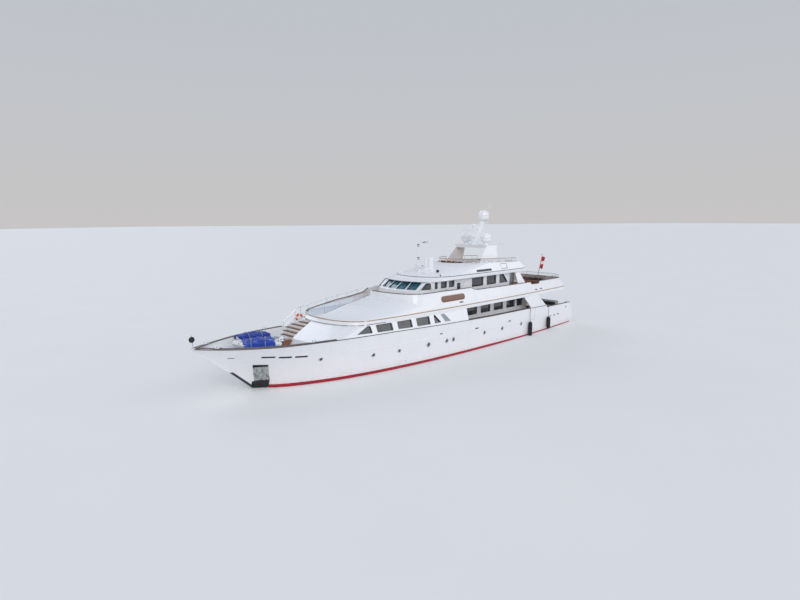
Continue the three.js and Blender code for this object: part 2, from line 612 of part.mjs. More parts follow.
// Sundeck moulding: the roof of the upper house, with the sundeck's well in it
const SUNDECK_LEVELS = [
  // height, then the front's half outline, the side's half-breadth and the stern's end
  { z: ROOF_UNDER, front: [[2.80, 0], [2.62, 1.4], [2.1, 2.55], [1.5, 3.02], [0.5, 3.22]], half: 3.25,
    aft: -13.5 },
  { z: ROOF_EDGE - 0.03, front: [[1.72, 0], [1.55, 1.3], [1.08, 2.25], [0.35, 2.88], [-0.8, 3.2]],
    half: 3.28, aft: -13.2 },
  { z: ROOF_EDGE + 0.03, front: [[1.60, 0], [1.43, 1.3], [0.96, 2.22], [0.25, 2.84], [-0.9, 3.16]],
    half: 3.24, aft: -13.1 },
  { z: 7.5, front: [[-0.5, 0], [-0.75, 1.25], [-1.5, 2.15], [-2.6, 2.75], [-4.2, 3.02]], half: 3.08,
    aft: -12.6 },
  { z: COAMING_TOP, front: [[-3.2, 0], [-3.5, 1.2], [-4.3, 2.0], [-5.4, 2.55], [-6.6, 2.82]], half: 2.92,
    aft: -11.95 },
];

function sundeckLevel({ z, front, half, aft }, inset = 0) {
  const outline = [
    ...front.map(([x, y]) => [x - inset, Math.max(y - inset, 0)]),
    ...steps(-7, aft + 0.5, 3).map((x) => [x, half - inset - (x < -10 ? 0.03 * (-10 - x) : 0)]),
    [aft + 0.08 + inset, half - 0.45 - inset], [aft + inset, 0],
  ];
  return whole(atHeight(outline, z));
}

function sundeck() {
  const shape = stack(SUNDECK_LEVELS.map((level) => sundeckLevel(level)));
  const top = SUNDECK_LEVELS.at(-1);
  const well = stack([
    sundeckLevel({ ...top, z: SUNDECK, aft: -12.3 }, 0.12), sundeckLevel({ ...top, z: 8.3 }, 0.1)]);
  const aftGate = box(-14, -11, -1.0, 1.0, SUNDECK, 9);
  const slope = prism('side', [[-3, 8.02], [-14, 7.66], [-14, 9], [-3, 9]], -5, 5);
  return largest(cut(shape, well, aftGate, slope));
}

// Radar arch on the sundeck's coaming
const ARCH = { baseFore: -5.55, baseAft: -8.75, topFore: -7.35, topAft: -8.95, outer: 2.55, lean: 0.4,
  thick: 0.26 };

function radarArch(roof) {
  const { baseFore, baseAft, topFore, topAft, outer, lean, thick } = ARCH;
  const leg = (side) => stack([[SUNDECK + GAP, 0], [ARCH_TOP - 0.16, lean]].map(([z, inward]) => {
    const share = (z - SUNDECK) / (ARCH_TOP - SUNDECK);
    const fore = baseFore + (topFore - baseFore) * share + 0.25 * (1 - share);
    const aft = baseAft + (topAft - baseAft) * share;
    const corners = [[fore, outer - inward - thick / 2], [fore - 0.2, outer - inward],
      [aft + 0.1, outer - inward],
      [aft, outer - inward - thick / 2], [aft + 0.1, outer - inward - thick],
        [fore - 0.2, outer - inward - thick]];
    return corners.map(([x, y]) => [x, side * y, z]);
  }));
  const bridge = stack([[ARCH_TOP - 0.3, 0.0], [ARCH_TOP, 0.03]].map(([z, spread]) => [
    [topFore + spread, -2.1], [topAft - spread, -2.1], [topAft - spread, 2.1], [topFore + spread, 2.1]]
    .map(([x, y]) => [x, y, z])));
  const pads = [-DOME_SIDE, DOME_SIDE].map((y) =>
    turned([[0, 0], [0.3, 0], [0.24, 0.28], [0, 0.28]], DOME_X, y, ARCH_TOP - 0.01, 14));
  return clearOf(join(leg(1), leg(-1), bridge, ...pads), roof);
}

// Domes
const DOME_X = -8.22;
const DOME_SIDE = 1.28;
const DOME = { radius: 0.57, foot: ARCH_TOP + 0.27 + GAP };
const TOP_DOME = { x: -9.45, z: 12.02, radius: 0.585 };

// A satellite dome: a short straight skirt under a round cap
function dome(x, y, z, radius) {
  const skirt = radius * 0.78;
  const cap = steps(0, 1, 5).map((t) => [radius * Math.cos(t * Math.PI / 2),
    skirt + radius * Math.sin(t * Math.PI / 2)]);
  cap.at(-1)[0] = 0;
  return turned([[0, 0], [radius * 0.72, 0], [radius * 0.95, skirt * 0.35], ...cap], x, y, z, 20);
}

// The raked fin that carries the top dome, a scanner's bracket and a small dome
const FIN = { foreFoot: -7.45, aftFoot: -8.35, foreTop: -9.15, aftTop: -9.6, top: TOP_DOME.z - GAP,
  half: 0.11 };
const SCANNER = { x: -7.05, z: 11.02, half: 0.78, height: 0.16, deep: 0.17 };

function finMast() {
  const { foreFoot, aftFoot, foreTop, aftTop, top, half } = FIN;
  const foot = ARCH_TOP + GAP;
  const fin = prism('side', [[foreFoot, foot], [aftFoot, foot], [aftTop, top], [foreTop, top]], -half,
    half);
  const cradle = turned([[0, 0], [0.12, 0], [0.34, 0.12], [0.34, 0.16], [0, 0.16]], TOP_DOME.x, 0,
    top - 0.16, 14);
  const bracketFoot = SCANNER.z - 0.42;
  const bracket = prism('side', [[-8.2, bracketFoot - 0.45], [-6.85, bracketFoot - 0.1],
    [-6.85, bracketFoot],
    [-8.5, bracketFoot]], -0.09, 0.09);
  const gearbox = turned([[0, 0], [0.2, 0], [0.2, 0.22], [0.12, 0.3], [0, 0.3]], SCANNER.x, 0,
    bracketFoot - 0.01, 14);
  const smallArm = prism('side', [[-8.9, 11.05], [-7.7, 11.28], [-7.7, 11.36], [-9.1, 11.3]], -0.05, 0.05);
  const smallDome = ball(-7.88, 0, 11.5, 0.17, 12);
  const spreader = join(rod([-9.2, -0.95, 11.62], [-9.2, 0.95, 11.62], 0.03, 8),
    rod([-9.45, 0, 11.7], [-10.2, 0, 11.8], 0.035, 8), rod([-10.2, 0, 11.75], [-10.45, 0, 13.75], 0.022,
      6, 0.014));
  const lamp = turned([[0, 0], [0.09, 0], [0.09, 0.2], [0, 0.2]], -7.24, 0.3, ARCH_TOP + 0.35, 10);
  const lampArm = join(rod([-7.24, 0.3, ARCH_TOP + 0.4], [-7.7, 0.05, ARCH_TOP + 0.4], 0.04, 8));
  return largest(join(fin, cradle, bracket, gearbox, smallArm, smallDome, spreader, lamp, lampArm));
}

function radarScanner() {
  const { x, z, half, height, deep } = SCANNER;
  const low = z - 0.42 + 0.29;
  const bar = prism('side', [[x - deep / 2, low + 0.09], [x - deep / 2, low + 0.09 + height],
    [x + deep / 3, low + 0.09 + height],
    [x + deep / 2, low + 0.09 + height / 2], [x + deep / 2, low + 0.09]], -half, half);
  return join(bar, turned([[0, 0], [0.09, 0], [0.09, 0.12], [0, 0.12]], x, 0, low + GAP, 12));
}

const canister = (x, y, radius, top) => turned([[0, 7.2], [radius, 7.2], [radius, top - radius * 0.35],
  [radius * 0.75, top - radius * 0.08], [0, top]], x, y, 0, 14);

// Signal mast on the roof, with lights, horns, a wind vane and two canisters on a shared plinth
function signalMast(roof) {
  const x = 0.25;
  const light = (z) => turned([[0, 0], [0.1, 0], [0.1, 0.16], [0, 0.16]], x + 0.09, 0, z, 10);
  const horns = [-0.16, 0.02, 0.2].map((y) => rod([x - 0.12, y, 7.86], [x + 0.32, y, 7.86], 0.04, 10,
    0.09));
  return clearOf(join(
    rod([x, 0, 7.1], [x, 0, 9.92], 0.05, 10, 0.03),
    turned([[0, 0], [0.16, 0], [0.07, 0.35], [0, 0.35]], x, 0, 7.2, 12),
    prism('side', [[0.36, 7.0], [0.36, 7.36], [-0.5, 7.57], [-1.6, 7.77], [-1.6, 7.2]], -0.12, 0.12),
    canister(-1.36, 0, 0.28, 8.67), canister(-0.62, 0.05, 0.14, 8.6),
    light(8.5), light(9.7),
    rod([x, -0.2, 7.8], [x, 0.26, 7.8], 0.035, 8), ...horns,
    rod([x, 0, 9.5], [x - 0.75, 0.05, 9.78], 0.02, 6), rod([x - 0.6, -0.22, 9.78], [x - 0.6, 0.32, 9.78],
      0.018, 6),
    rod([x - 0.6, 0.3, 9.7], [x - 0.6, 0.3, 10.02], 0.03, 8),
      rod([x - 0.6, -0.2, 9.7], [x - 0.6, -0.2, 9.95], 0.03, 8),
  ), roof);
}

// Stern and bow staffs
const FLAGSTAFF = { foot: [-19.98, 0, 5.0], top: [-20.95, 0, 7.85] };
const onStaff = (height) => FLAGSTAFF.foot.map((f, i) =>
  f + (FLAGSTAFF.top[i] - f) * (height - FLAGSTAFF.foot[2]) / (FLAGSTAFF.top[2] - FLAGSTAFF.foot[2]));

function flagstaff(bulwark) {
  return clearOf(join(rod(FLAGSTAFF.foot, FLAGSTAFF.top, 0.035, 10, 0.022),
    ball(...FLAGSTAFF.top, 0.05, 10), rod([-20.3, 0, 5.25], onStaff(5.25), 0.05, 8)), bulwark);
}

// The ensign hangs from the staff in three soft folds
function ensign() {
  const [head, width, drop, thick] = [7.62, 0.62, 1.5, 0.05];
  const fold = (u) => 0.09 * Math.sin(u * 3 * Math.PI);
  const edge = steps(0, 1, 9);
  const outline = (z, spread) => {
    const [staffX] = onStaff(z);
    const hoist = staffX - (0.036 - 0.013 * (z - FLAGSTAFF.foot[2]) / 2.85) - 2 * GAP;
    const row = (side) => edge.map((u) => [hoist - u * width * spread, fold(u) + side * thick / 2, z]);
    return [...row(1), ...row(-1).reverse()];
  };
  return stack([outline(head - drop, 0.78), outline(head - drop / 2, 0.9), outline(head, 1)]);
}

function jackstaff(hull) {
  const ballHeight = 4.33;
  return clearOf(join(rod([22.2, 0, 3.3], [22.36, 0, 4.7], 0.03, 10, 0.02),
    ball(22.33, 0, ballHeight, 0.2, 14),
    turned([[0, 0], [0.1, 0], [0.06, 0.12], [0, 0.12]], 22.2, 0, 3.62, 10)), hull);
}

// Glazing: one sheet behind each house's openings
const GLASS = 0.025;

function foreGlass(house, sides) {
  const sheet = cut(foreHouseShape(WALL + GAP, FORE_HOUSE_AFT + WALL + GAP),
    foreHouseShape(WALL + GAP + GLASS, FORE_HOUSE_AFT - 1));
  const band = sheet.intersect(box(1.2, 11.32, -6, 6, 3.22, 4.09));
  const side = (low, high) => clearOf(clearOf(band.intersect(box(0, 12, low, high, 3, 5)), sides), house);
  return { port: side(2.6, 6), starboard: side(-6, -2.6) };
}

function upperGlass(low, high, fore, aft) {
  const sheet = cut(upperHouseShape(WALL + GAP), upperHouseShape(WALL + GAP + GLASS));
  return largest(sheet.intersect(box(aft, fore, -4, 4, low, high)));
}

function mainGlass() {
  const outer = SALOON_HALF - WALL - GAP;
  const fore = FORE_HOUSE_AFT - WALL - GAP;
  return cut(box(-12.5, fore, -outer, outer, 2.95, 4.0),
    box(-13, fore - GLASS, -outer + GLASS, outer - GLASS, 2, 5),
    box(-13, 0, -outer + GLASS, outer - GLASS, 2, 3.9));
}

// Main deck house aft of the full-beam part
const SALOON_HALF = 3.0;
const SALOON_DOOR = { half: 0.92, low: MAIN_DECK + 0.03, high: 3.86, thick: 0.05, travel: 0.86 };

function mainHouse() {
  const shell = box(SALOON_AFT, FORE_HOUSE_AFT - GAP, -SALOON_HALF, SALOON_HALF, MAIN_DECK + GAP,
    UPPER_UNDER - GAP);
  const room = box(SALOON_AFT + WALL, FORE_HOUSE_AFT - WALL, -SALOON_HALF + WALL, SALOON_HALF - WALL,
    MAIN_DECK + 0.06, 5);
  const { half, low, high, thick, travel } = SALOON_DOOR;
  const reach = half + travel;
  const behind = SALOON_AFT - RUNNING - thick;
  const rail = box(behind - 0.02, SALOON_AFT + 0.01, -reach, reach, high + GAP, high + 0.08);
  return largest(cut(join(shell, rail), room, houseDoorway(),
    ...SALOON_WINDOWS.map((window) => sidePair(window, 2.5, 3.5)),
    box(SALOON_AFT - 0.01, SALOON_AFT + 0.5, -half + 0.05, half - 0.05, low + 0.03, high - 0.04)));
}

function saloonDoor(side) {
  const { half, low, high, thick } = SALOON_DOOR;
  const leaf = box(SALOON_AFT - RUNNING - thick, SALOON_AFT - RUNNING, 0.008, half, low, high);
  const glass = cut(leaf, box(SALOON_AFT - 1, SALOON_AFT, 0.11, half - 0.1, low + 0.14, high - 0.1));
  const pane = box(SALOON_AFT - RUNNING - 0.04, SALOON_AFT - RUNNING - 0.01, 0.1, half - 0.09, low + 0.13,
    high - 0.09);
  const handle = rod([SALOON_AFT - RUNNING - thick - 0.03, 0.06, 2.9],
    [SALOON_AFT - RUNNING - thick - 0.03, 0.06, 3.25], 0.015, 8);
  const lugs = [2.95, 3.2].map((z) =>
    box(SALOON_AFT - RUNNING - thick - 0.03, SALOON_AFT - RUNNING - thick + 0.01, 0.05, 0.07, z - 0.01,
      z + 0.01));
  const door = join(glass, pane, handle, ...lugs);
  return side > 0 ? door : door.mirror([0, 1, 0]);
}

function loungeDoor() {
  const { half, low, high, thick } = LOUNGE_DOOR;
  const out = UPPER_HOUSE_AFT - RUNNING;
  const leaf = cut(box(out - thick, out, -half, half, low, high),
    box(out - 1, out + 1, -half + 0.1, half - 0.1, low + 0.14, high - 0.1));
  const pane = box(out - 0.04, out - 0.01, -half + 0.09, half - 0.09, low + 0.13, high - 0.09);
  const handle = join(rod([out - thick - 0.03, -half + 0.05, 5.3],
    [out - thick - 0.03, -half + 0.05, 5.65], 0.015, 8),
    ...[5.35, 5.6].map((z) => box(out - thick - 0.03, out - thick + 0.01, -half + 0.04, -half + 0.06,
      z - 0.01, z + 0.01)));
  return join(leaf, pane, handle);
}

function wingDoor(side) {
  const { fore, aft, low, high, thick } = WING_DOOR;
  const face = UPPER_HOUSE_HALF;
  const leaf = cut(box(aft, fore, face - thick, face, low, high),
    box(aft + 0.12, fore - 0.12, 2, 4, 5.72, high - 0.12));
  const pane = box(aft + 0.11, fore - 0.11, face - 0.04, face - 0.015, 5.71, high - 0.11);
  const hinge = [low + 0.12, high - 0.22].map((z) => rod([aft + 0.0021, face + 0.004, z],
    [aft + 0.0021, face + 0.004, z + 0.12], 0.0135, 16));
  const handle = join(rod([fore - 0.06, face + 0.035, 5.35], [fore - 0.06, face + 0.035, 5.6], 0.015, 8),
    ...[5.38, 5.57].map((z) => box(fore - 0.07, fore - 0.05, face - 0.01, face + 0.035, z - 0.01,
      z + 0.01)));
  const door = join(leaf, pane, ...hinge, handle);
  return side > 0 ? door : door.mirror([0, 1, 0]);
}

// Wing walls that close the side decks aft, with slanted edges
const MAIN_WING = [[-12.15, 3.02], [-11.2, 4.15], [-13.95, 4.15], [-15.5, 2.60], [-15.5, 2.4],
  [-12.2, 2.4]];
const UPPER_WING = [[-11.0, 5.42], [-10.95, 6.75], [-11.6, 6.75], [-12.35, 5.35]];

function mainWing(side, hull) {
  const plan = (z) => {
    const y = (x) => (z < 3 ? hullSide(x, z) - SKIN : upperHalf(x) - MOULDING);
    return [[-11, y(-11)], [-13.3, y(-13.3)], [-15.6, y(-15.6)],
      [-15.6, y(-15.6) - WALL], [-13.3, y(-13.3) - WALL],
        [-11, y(-11) - WALL]].map(([x, h]) => [x, side * h, z]);
  };
  const wall = stack([plan(2.4), plan(2.85), plan(UPPER_UNDER - GAP)]);
  return clearOf(wall.intersect(prism('side', MAIN_WING, -6, 6)), hull);
}

function upperWing(side, roof, bulwark) {
  const y = side * 3.05;
  const wall = stack([[5.2, 0.45], [ROOF_UNDER - GAP, 0]].map(([z, out]) => {
    const corners = [[-10.7, y + side * out], [-12.6, y + side * out], [-12.6, y + side * (out - 0.07)],
      [-10.7, y + side * (out - 0.07)]];
    return corners.map(([px, py]) => [px, py, z]);
  }));
  return clearOf(wall.intersect(prism('side', UPPER_WING, -6, 6)), bulwark);
}

// Aft stair between the main deck and the upper deck, starboard side
const AFT_STAIR = { fore: -14.5, aft: -17.4, inner: 2.35, outer: 3.15, steps: 12 };

function aftStair() {
  const { fore, aft, inner, outer, steps: count } = AFT_STAIR;
  const rise = (UPPER_DECK - AFT_DECK) / count;
  const run = (aft - fore) / count;
  const treads = steps(1, count - 1, count - 2).map((n) => [fore + run * n, AFT_DECK + rise * n]);
  const outline = [[fore, AFT_DECK + GAP]];
  treads.forEach(([x, z]) => outline.push([x - run, z], [x, z]));
  const last = treads.at(-1);
  outline.push([last[0] + 0.15, last[1] - 0.35], [fore - 0.4, AFT_DECK + GAP]);
  return prism('side', outline, -outer, -inner);
}

function upperDeck() {
  const slab = stack([
    whole(atHeight(upperOutline({ ...UPPER_PLAN, inset: 0, tip: 12.0 }), UPPER_UNDER)),
    whole(atHeight(upperOutline({ ...UPPER_PLAN, inset: 0 }), UPPER_DECK - 0.06)),
    whole(atHeight(upperOutline({ ...UPPER_PLAN, inset: 0 }), UPPER_DECK)),
  ]);
  const { fore, aft, inner, outer } = AFT_STAIR;
  return largest(cut(slab, box(aft - 0.15, fore + 0.3, -outer - 0.05, -inner + 0.05, 4, 5)));
}

// Swim platform
function swimPlatform() {
  const outline = whole([[STERN - GAP, 0], [STERN - GAP, 3.05], [STERN - 0.55, 3.0], [STERN - 0.85, 2.7],
    [STERN - 0.92, 0]]);
  return prism('plan', outline.map(([x, y]) => [x, y]), 0.36, 0.5);
}

// Ground tackle: stainless plates in the pockets, the anchor stowed to starboard, windlasses
function anchorPlate(side, hull, deck) {
  const proud = ribLoft(steps(18.8, 16.8, 6).map((x) => rib(x, -0.03)));
  const [y0, y1] = side > 0 ? [0.12, 3] : [-3, -0.12];
  const behind = [hull, deck].map((piece) => piece.translate([0, side * GAP, 0]));
  return largest(cut(proud.intersect(prism('side', ANCHOR_POCKET, y0, y1)), ...behind));
}

// The anchor lies flat against the starboard plate: u runs forward along the hull, v away from
// it and w up it
function anchor(...neighbours) {
  const [crown, head] = [{ x: 17.58, z: 0.72 }, { x: 17.92, z: 1.8 }];
  const point = (x, z) => new THREE.Vector3(x, -hullSide(x, z) - 0.04, z);
  const origin = point(crown.x, crown.z);
  const w = point(head.x, head.z).sub(origin).normalize();
  const u = point(crown.x - 0.4, crown.z).sub(origin).negate().normalize();
  const v = new THREE.Vector3().crossVectors(u, w).normalize();
  if (v.y > 0) v.negate();
  u.crossVectors(w, v).normalize();
  const matrix = new THREE.Matrix4().makeBasis(u, v, w).setPosition(origin);
  const place = (piece) => piece.transform(matrix.elements);
  const fluke = (side) => prism('side', [[side * 0.1, -0.12], [side * 0.44, 0.0], [side * 0.36, 0.62],
    [side * 0.24, 0.2],
    [side * 0.1, 0.12]], 0.05, 0.13);
  const body = join(box(-0.07, 0.07, 0.03, 0.17, -0.1, 1.15), fluke(1), fluke(-1),
    box(-0.3, 0.3, 0.03, 0.2, -0.16, 0.02), rod([0, 0.02, 1.12], [0, 0.18, 1.12], 0.11, 12));
  const moves = [[0, -1, 0], [1, 0, 0], [-1, 0, 0], [0, 0, 1], [0, 0, -1]];
  return neighbours.reduce((rest, piece) => clearOf(rest, piece, moves), place(body));
}

function windlass(side) {
  const [x, y] = [19.3, side * 0.36];
  return join(
    box(x - 0.3, x + 0.25, y - 0.17, y + 0.17, FOREDECK + GAP, FOREDECK + 0.12),
    turned([[0, 0], [0.14, 0], [0.14, 0.06], [0.09, 0.14], [0.09, 0.3], [0.16, 0.4], [0.16, 0.45],
      [0, 0.45]],
      x, y, FOREDECK + 0.1, 14),
    box(x - 0.28, x - 0.1, y - 0.1, y + 0.1, FOREDECK + 0.1, FOREDECK + 0.4),
  );
}

// Two boats under fitted covers, on chocks on the foredeck
const BOATS = {
  port: { x: 17.25, y: -0.3, foot: 2.74, length: 3.9, beam: 1.6, depth: 0.66, turn: -30 },
  starboard: { x: 16.7, y: -1.95, foot: 3.0, length: 2.7, beam: 1.1, depth: 0.58, turn: -6 },
};

function coveredBoat({ x, y, foot, length, beam, depth, turn }) {
  const ribs = [
    // share of the length from the stern, of the beam, bottom height share and top height share
    [0.00, 0.80, 0.20, 1.02], [0.12, 0.94, 0.08, 1.12], [0.35, 1.00, 0.02, 1.30], [0.55, 0.98, 0.02, 1.36],
    [0.75, 0.84, 0.10, 1.26], [0.90, 0.56, 0.26, 1.14], [0.98, 0.26, 0.48, 1.06],
  ];
  const loft = ribLoft(ribs.map(([share, wide, low, high]) => {
    const half = beam / 2 * wide;
    const mid = depth * 0.72;
    return { x: (share - 0.5) * length, half: [
      [0, depth * low], [half * 0.55, depth * (low + 0.08)], [half, mid * 0.75], [half * 1.04, mid],
        [half, mid * 1.22],
      [half * 0.78, depth * (0.6 + 0.4 * high)], [half * 0.35, depth * high], [0, depth * (high + 0.04)]] };
  }).reverse());
  return loft.rotate([0, 0, turn]).translate([x, y, foot]);
}

function boatChocks(boats, deck, sides) {
  const cradle = ({ x, y, foot, length, beam, turn }) => join(
    ...[-0.26, 0.26].map((share) =>
      box(share * length - 0.06, share * length + 0.06, -beam * 0.36, beam * 0.36, FOREDECK + GAP,
        foot + 0.3)),
    box(-length * 0.28, length * 0.28, -0.05, 0.05, FOREDECK + GAP, FOREDECK + 0.12),
  ).rotate([0, 0, turn]).translate([x, y, 0]);
  const tie = box(17.1, 17.3, BOATS.starboard.y, BOATS.port.y, FOREDECK + GAP, FOREDECK + 0.1);
  const frame = join(tie, ...Object.values(BOATS).map(cradle));
  const resting = boats.reduce((rest, boat) => clearOf(rest, boat, [[0, 0, -1], [0, 1, 0], [0, -1, 0]]),
    frame);
  return clearOf(clearOf(resting, deck), sides);
}

// Two fenders on the port side, hanging from lanyards at the bulwark
const FENDERS = [{ x: -11.95, top: 1.5, bottom: -0.1 }, { x: -15.9, top: 1.5, bottom: 0.1 }];
const FENDER_RADIUS = 0.21;

function fender({ x, top, bottom }, ...neighbours) {
  const y = hullSide(x, (top + bottom) / 2) + FENDER_RADIUS + 0.02;
  const rail = x < AFT_BULWARK.from ? AFT_BULWARK.top - 0.03 : line.top(x);
  const body = turned([[0, 0], [FENDER_RADIUS * 0.55, 0.05], [FENDER_RADIUS, 0.22],
    [FENDER_RADIUS, top - bottom - 0.22],
    [FENDER_RADIUS * 0.55, top - bottom - 0.05], [0, top - bottom]], x, y, bottom, 14);
  const edge = hullSide(x, rail) + 0.03;
  const lanyard = join(rod([x, y, top - 0.04], [x, edge, rail + 0.03], 0.015, 6),
    rod([x, edge, rail + 0.03], [x, edge - 0.3, rail + 0.03], 0.018, 6));
  const moves = [[0, 0, 1], [0, 1, 0], [1, 0, 0], [-1, 0, 0]];
  return neighbours.reduce((rest, piece) => clearOf(rest, piece, moves), join(body, lanyard));
}

// Underwater gear
const SHAFT = { y: 1.75, fore: -9.5, foreZ: -1.15, aft: -17.17, aftZ: -1.70, radius: 0.08 };
const PROPELLER = { radius: 0.6, blades: 4, hub: 0.34 };
const RUDDER = { x: -18.65, y: 1.75, top: -1.03, bottom: -2.25, chord: 1.15, limit: 35 };
const STOCK = { radius: 0.06, top: -0.62 };
const SHAFT_SLOPE = Math.atan((SHAFT.aftZ - SHAFT.foreZ) / (SHAFT.aft - SHAFT.fore));
const shaftZ = (x) => SHAFT.foreZ + (SHAFT.aftZ - SHAFT.foreZ) * (x - SHAFT.fore) / (SHAFT.aft - SHAFT.fore);

function shaft(side, hull) {
  const { fore, aft, radius } = SHAFT;
  const y = side * SHAFT.y;
  const strut = (x) => join(
    rod([x, y - side * 0.02, shaftZ(x)], [x, y - side * 0.4, -0.6], 0.045, 8),
    rod([x, y + side * 0.02, shaftZ(x)], [x, y + side * 0.4, -0.6], 0.045, 8),
    rod([x + 0.2, y, shaftZ(x + 0.2)], [x - 0.2, y, shaftZ(x - 0.2)], 0.13, 12));
  const bar = rod([fore, y, shaftZ(fore)], [aft, y, shaftZ(aft)], radius, 14);
  return clearOf(join(bar, strut(-16.7)), hull, [[0, 0, -1], [0, 1, 0], [0, -1, 0], [1, 0, 0], [-1, 0, 0]]);
}

function propeller(side) {
  const { radius, blades } = PROPELLER;
  const hub = new THREE.CylinderGeometry(0.13, 0.15, PROPELLER.hub, 16).rotateZ(Math.PI / 2);
  const cone = new THREE.CylinderGeometry(0.02, 0.13, 0.2, 16).rotateZ(Math.PI / 2).translate(-0.265, 0, 0);
  const blade = (n) => {
    const shape = stack([[0.08, 0.10, 0.055, 62], [0.3, 0.22, 0.04, 48], [0.45, 0.25, 0.028, 36],
      [0.55, 0.17, 0.018, 30], [radius, 0.05, 0.012, 28]]
      .map(([r, half, thick, pitch]) => {
        const [c, s] = [Math.cos(pitch * Math.PI / 180), Math.sin(pitch * Math.PI / 180)];
        return [[-half, 0], [-half * 0.4, -thick], [half * 0.4, -thick], [half, 0], [half * 0.4, thick],
          [-half * 0.4, thick]]
          .map(([u, v]) => [u * s + v * c, side * (u * c - v * s), r]);
      }));
    return shape.rotate([n * 360 / blades, 0, 0]);
  };
  const wheel = join(solid(hub), solid(cone), ...steps(0, blades - 1, blades - 1).map(blade));
  const back = PROPELLER.hub / 2 + GAP;
  const centre = [SHAFT.aft - back * Math.cos(SHAFT_SLOPE), side * SHAFT.y,
    SHAFT.aftZ - back * Math.sin(SHAFT_SLOPE)];
  return wheel.rotate([0, -SHAFT_SLOPE * 180 / Math.PI, 0]).translate(centre);
}

function rudder(side) {
  const { x, y, top, bottom, chord } = RUDDER;
  const foil = (z, size) => {
    const rows = [[0.28, 0], [0.2, 0.055], [0.0, 0.075], [-0.35, 0.05], [-0.72, 0.008]];
    const points = [...rows.map(([u, v]) => [u * size, v]),
      ...rows.slice(1).map(([u, v]) => [u * size, -v]).reverse()];
    return points.map(([u, v]) => [x + u, side * y + v, z]);
  };
  const blade = stack([foil(bottom, chord * 0.8), foil(bottom + 0.3, chord), foil(top, chord)]);
  return join(blade, rod([x, side * y, top - 0.1], [x, side * y, STOCK.top], STOCK.radius, 12));
}

// Deck furniture
function aftSettee() {
  const z = AFT_DECK + GAP;
  return join(box(-20.95, -20.15, -1.9, 1.9, z, z + 0.42), box(-21.1, -20.85, -1.9, 1.9, z + 0.1, z + 0.82),
    box(-20.5, -19.5, 1.3, 1.9, z, z + 0.42), box(-20.5, -19.5, -1.9, -1.3, z, z + 0.42));
}

function table(x, y, z, long, wide, height) {
  const top = box(x - long / 2, x + long / 2, y - wide / 2, y + wide / 2, z + height - 0.06, z + height);
  const legs = [-1, 1].map((end) => box(x + end * long * 0.3 - 0.06, x + end * long * 0.3 + 0.06,
    y - 0.12, y + 0.12, z + GAP, z + height - 0.03));
  const feet = [-1, 1].map((end) => box(x + end * long * 0.3 - 0.1, x + end * long * 0.3 + 0.1,
    y - wide * 0.3, y + wide * 0.3, z + GAP, z + 0.05));
  return join(top, ...legs, ...feet);
}

const AFT_TABLE = { x: -17.9, y: 0.55, long: 2.2, wide: 1.1 };
const UPPER_TABLE = { x: -15.2, y: 0.3, long: 2.4, wide: 1.15 };

// Rails
function rail(points, radius, posts, foot) {
  const runs = points.slice(1).map((point, i) => rod(points[i], point, radius, 8));
  const stanchions = posts.map(([x, y, z]) => rod([x, y, foot(x, y)], [x, y, z], radius * 0.9, 8));
  return join(...runs, ...stanchions);
}

function sternRail(bulwark) {
  const z = 5.78;
  const path = bulwarkOutline(5.42, BULWARK / 2).filter(([x]) => x < -15.0 && x > -30);
  const half = path.filter(([, y]) => y > 0.2);
  const kept = half.filter(([x], i) => x > -18 || i % 2 === 0);
  const port = kept.map(([x, y]) => [x, y, z]);
  const ring = [...port, ...port.map(([x, y]) => [x, -y, z]).reverse()];
  return clearOf(rail(ring, 0.022, ring, () => 5.25), bulwark);
}

// Finishes
const finish = (color, roughness, metalness = 0) => new THREE.MeshStandardMaterial({ color, roughness,
  metalness });
const WHITE = finish(0xf2f4f7, 0.28);
const DECK = finish(0xd9dcdf, 0.6);
const GLASS_DARK = finish(0x20262c, 0.08);
const STEEL = finish(0xb9bec4, 0.22, 1);
const BRONZE = finish(0xb08a4a, 0.35, 1);
const BLACK = finish(0x17181a, 0.6);
const TEAK = finish(0x9c6a3c, 0.55);
const BLUE = finish(0x1b3fa8, 0.8);
const CREAM = finish(0xe6e1d6, 0.8);
const RED = finish(0xb8202c, 0.8);
const ENGINE_GREY = finish(0x8c9196, 0.5);

// Assembly

const yacht = new THREE.Group();
yacht.scale.setScalar(MODEL_MM_PER_METRE);

function add(name, piece, material) {
  const mesh = piece.getMesh();
  const geometry = new THREE.BufferGeometry();
  geometry.setAttribute('position', new THREE.BufferAttribute(mesh.vertProperties, 3));
  geometry.setIndex(new THREE.BufferAttribute(mesh.triVerts, 1));
  const part = new THREE.Mesh(geometry, material);
  part.name = name;
  yacht.add(part);
}

const { hull, deck, sides } = hullPieces();
const roof = sundeck();
const bulwark = upperBulwark();
const house = foreHouse(deck, sides);

add('hull', hull, WHITE);
add('main_deck', deck, DECK);
add('bulwark', sides, WHITE);
add('swim_platform', swimPlatform(), DECK);
add('transom_door', transomPanel(TRANSOM_DOOR.top, TRANSOM_DOOR.bottom, -TRANSOM_DOOR.thick, -0.004,
  TRANSOM_DOOR.half), WHITE);
add('fore_house', house, WHITE);
add('main_house', mainHouse(), WHITE);
add('upper_deck', upperDeck(), WHITE);
add('coach_roof', coachRoof(), WHITE);
add('upper_bulwark', bulwark, WHITE);
add('upper_house', upperHouse(), WHITE);
add('sundeck', roof, WHITE);
add('radar_arch', radarArch(roof), WHITE);
add('fin_mast', finMast(), WHITE);
add('top_dome', dome(TOP_DOME.x, 0, TOP_DOME.z, TOP_DOME.radius), WHITE);
add('port_dome', dome(DOME_X, DOME_SIDE, DOME.foot, DOME.radius), WHITE);
add('starboard_dome', dome(DOME_X, -DOME_SIDE, DOME.foot, DOME.radius), WHITE);
add('radar_scanner', radarScanner(), WHITE);
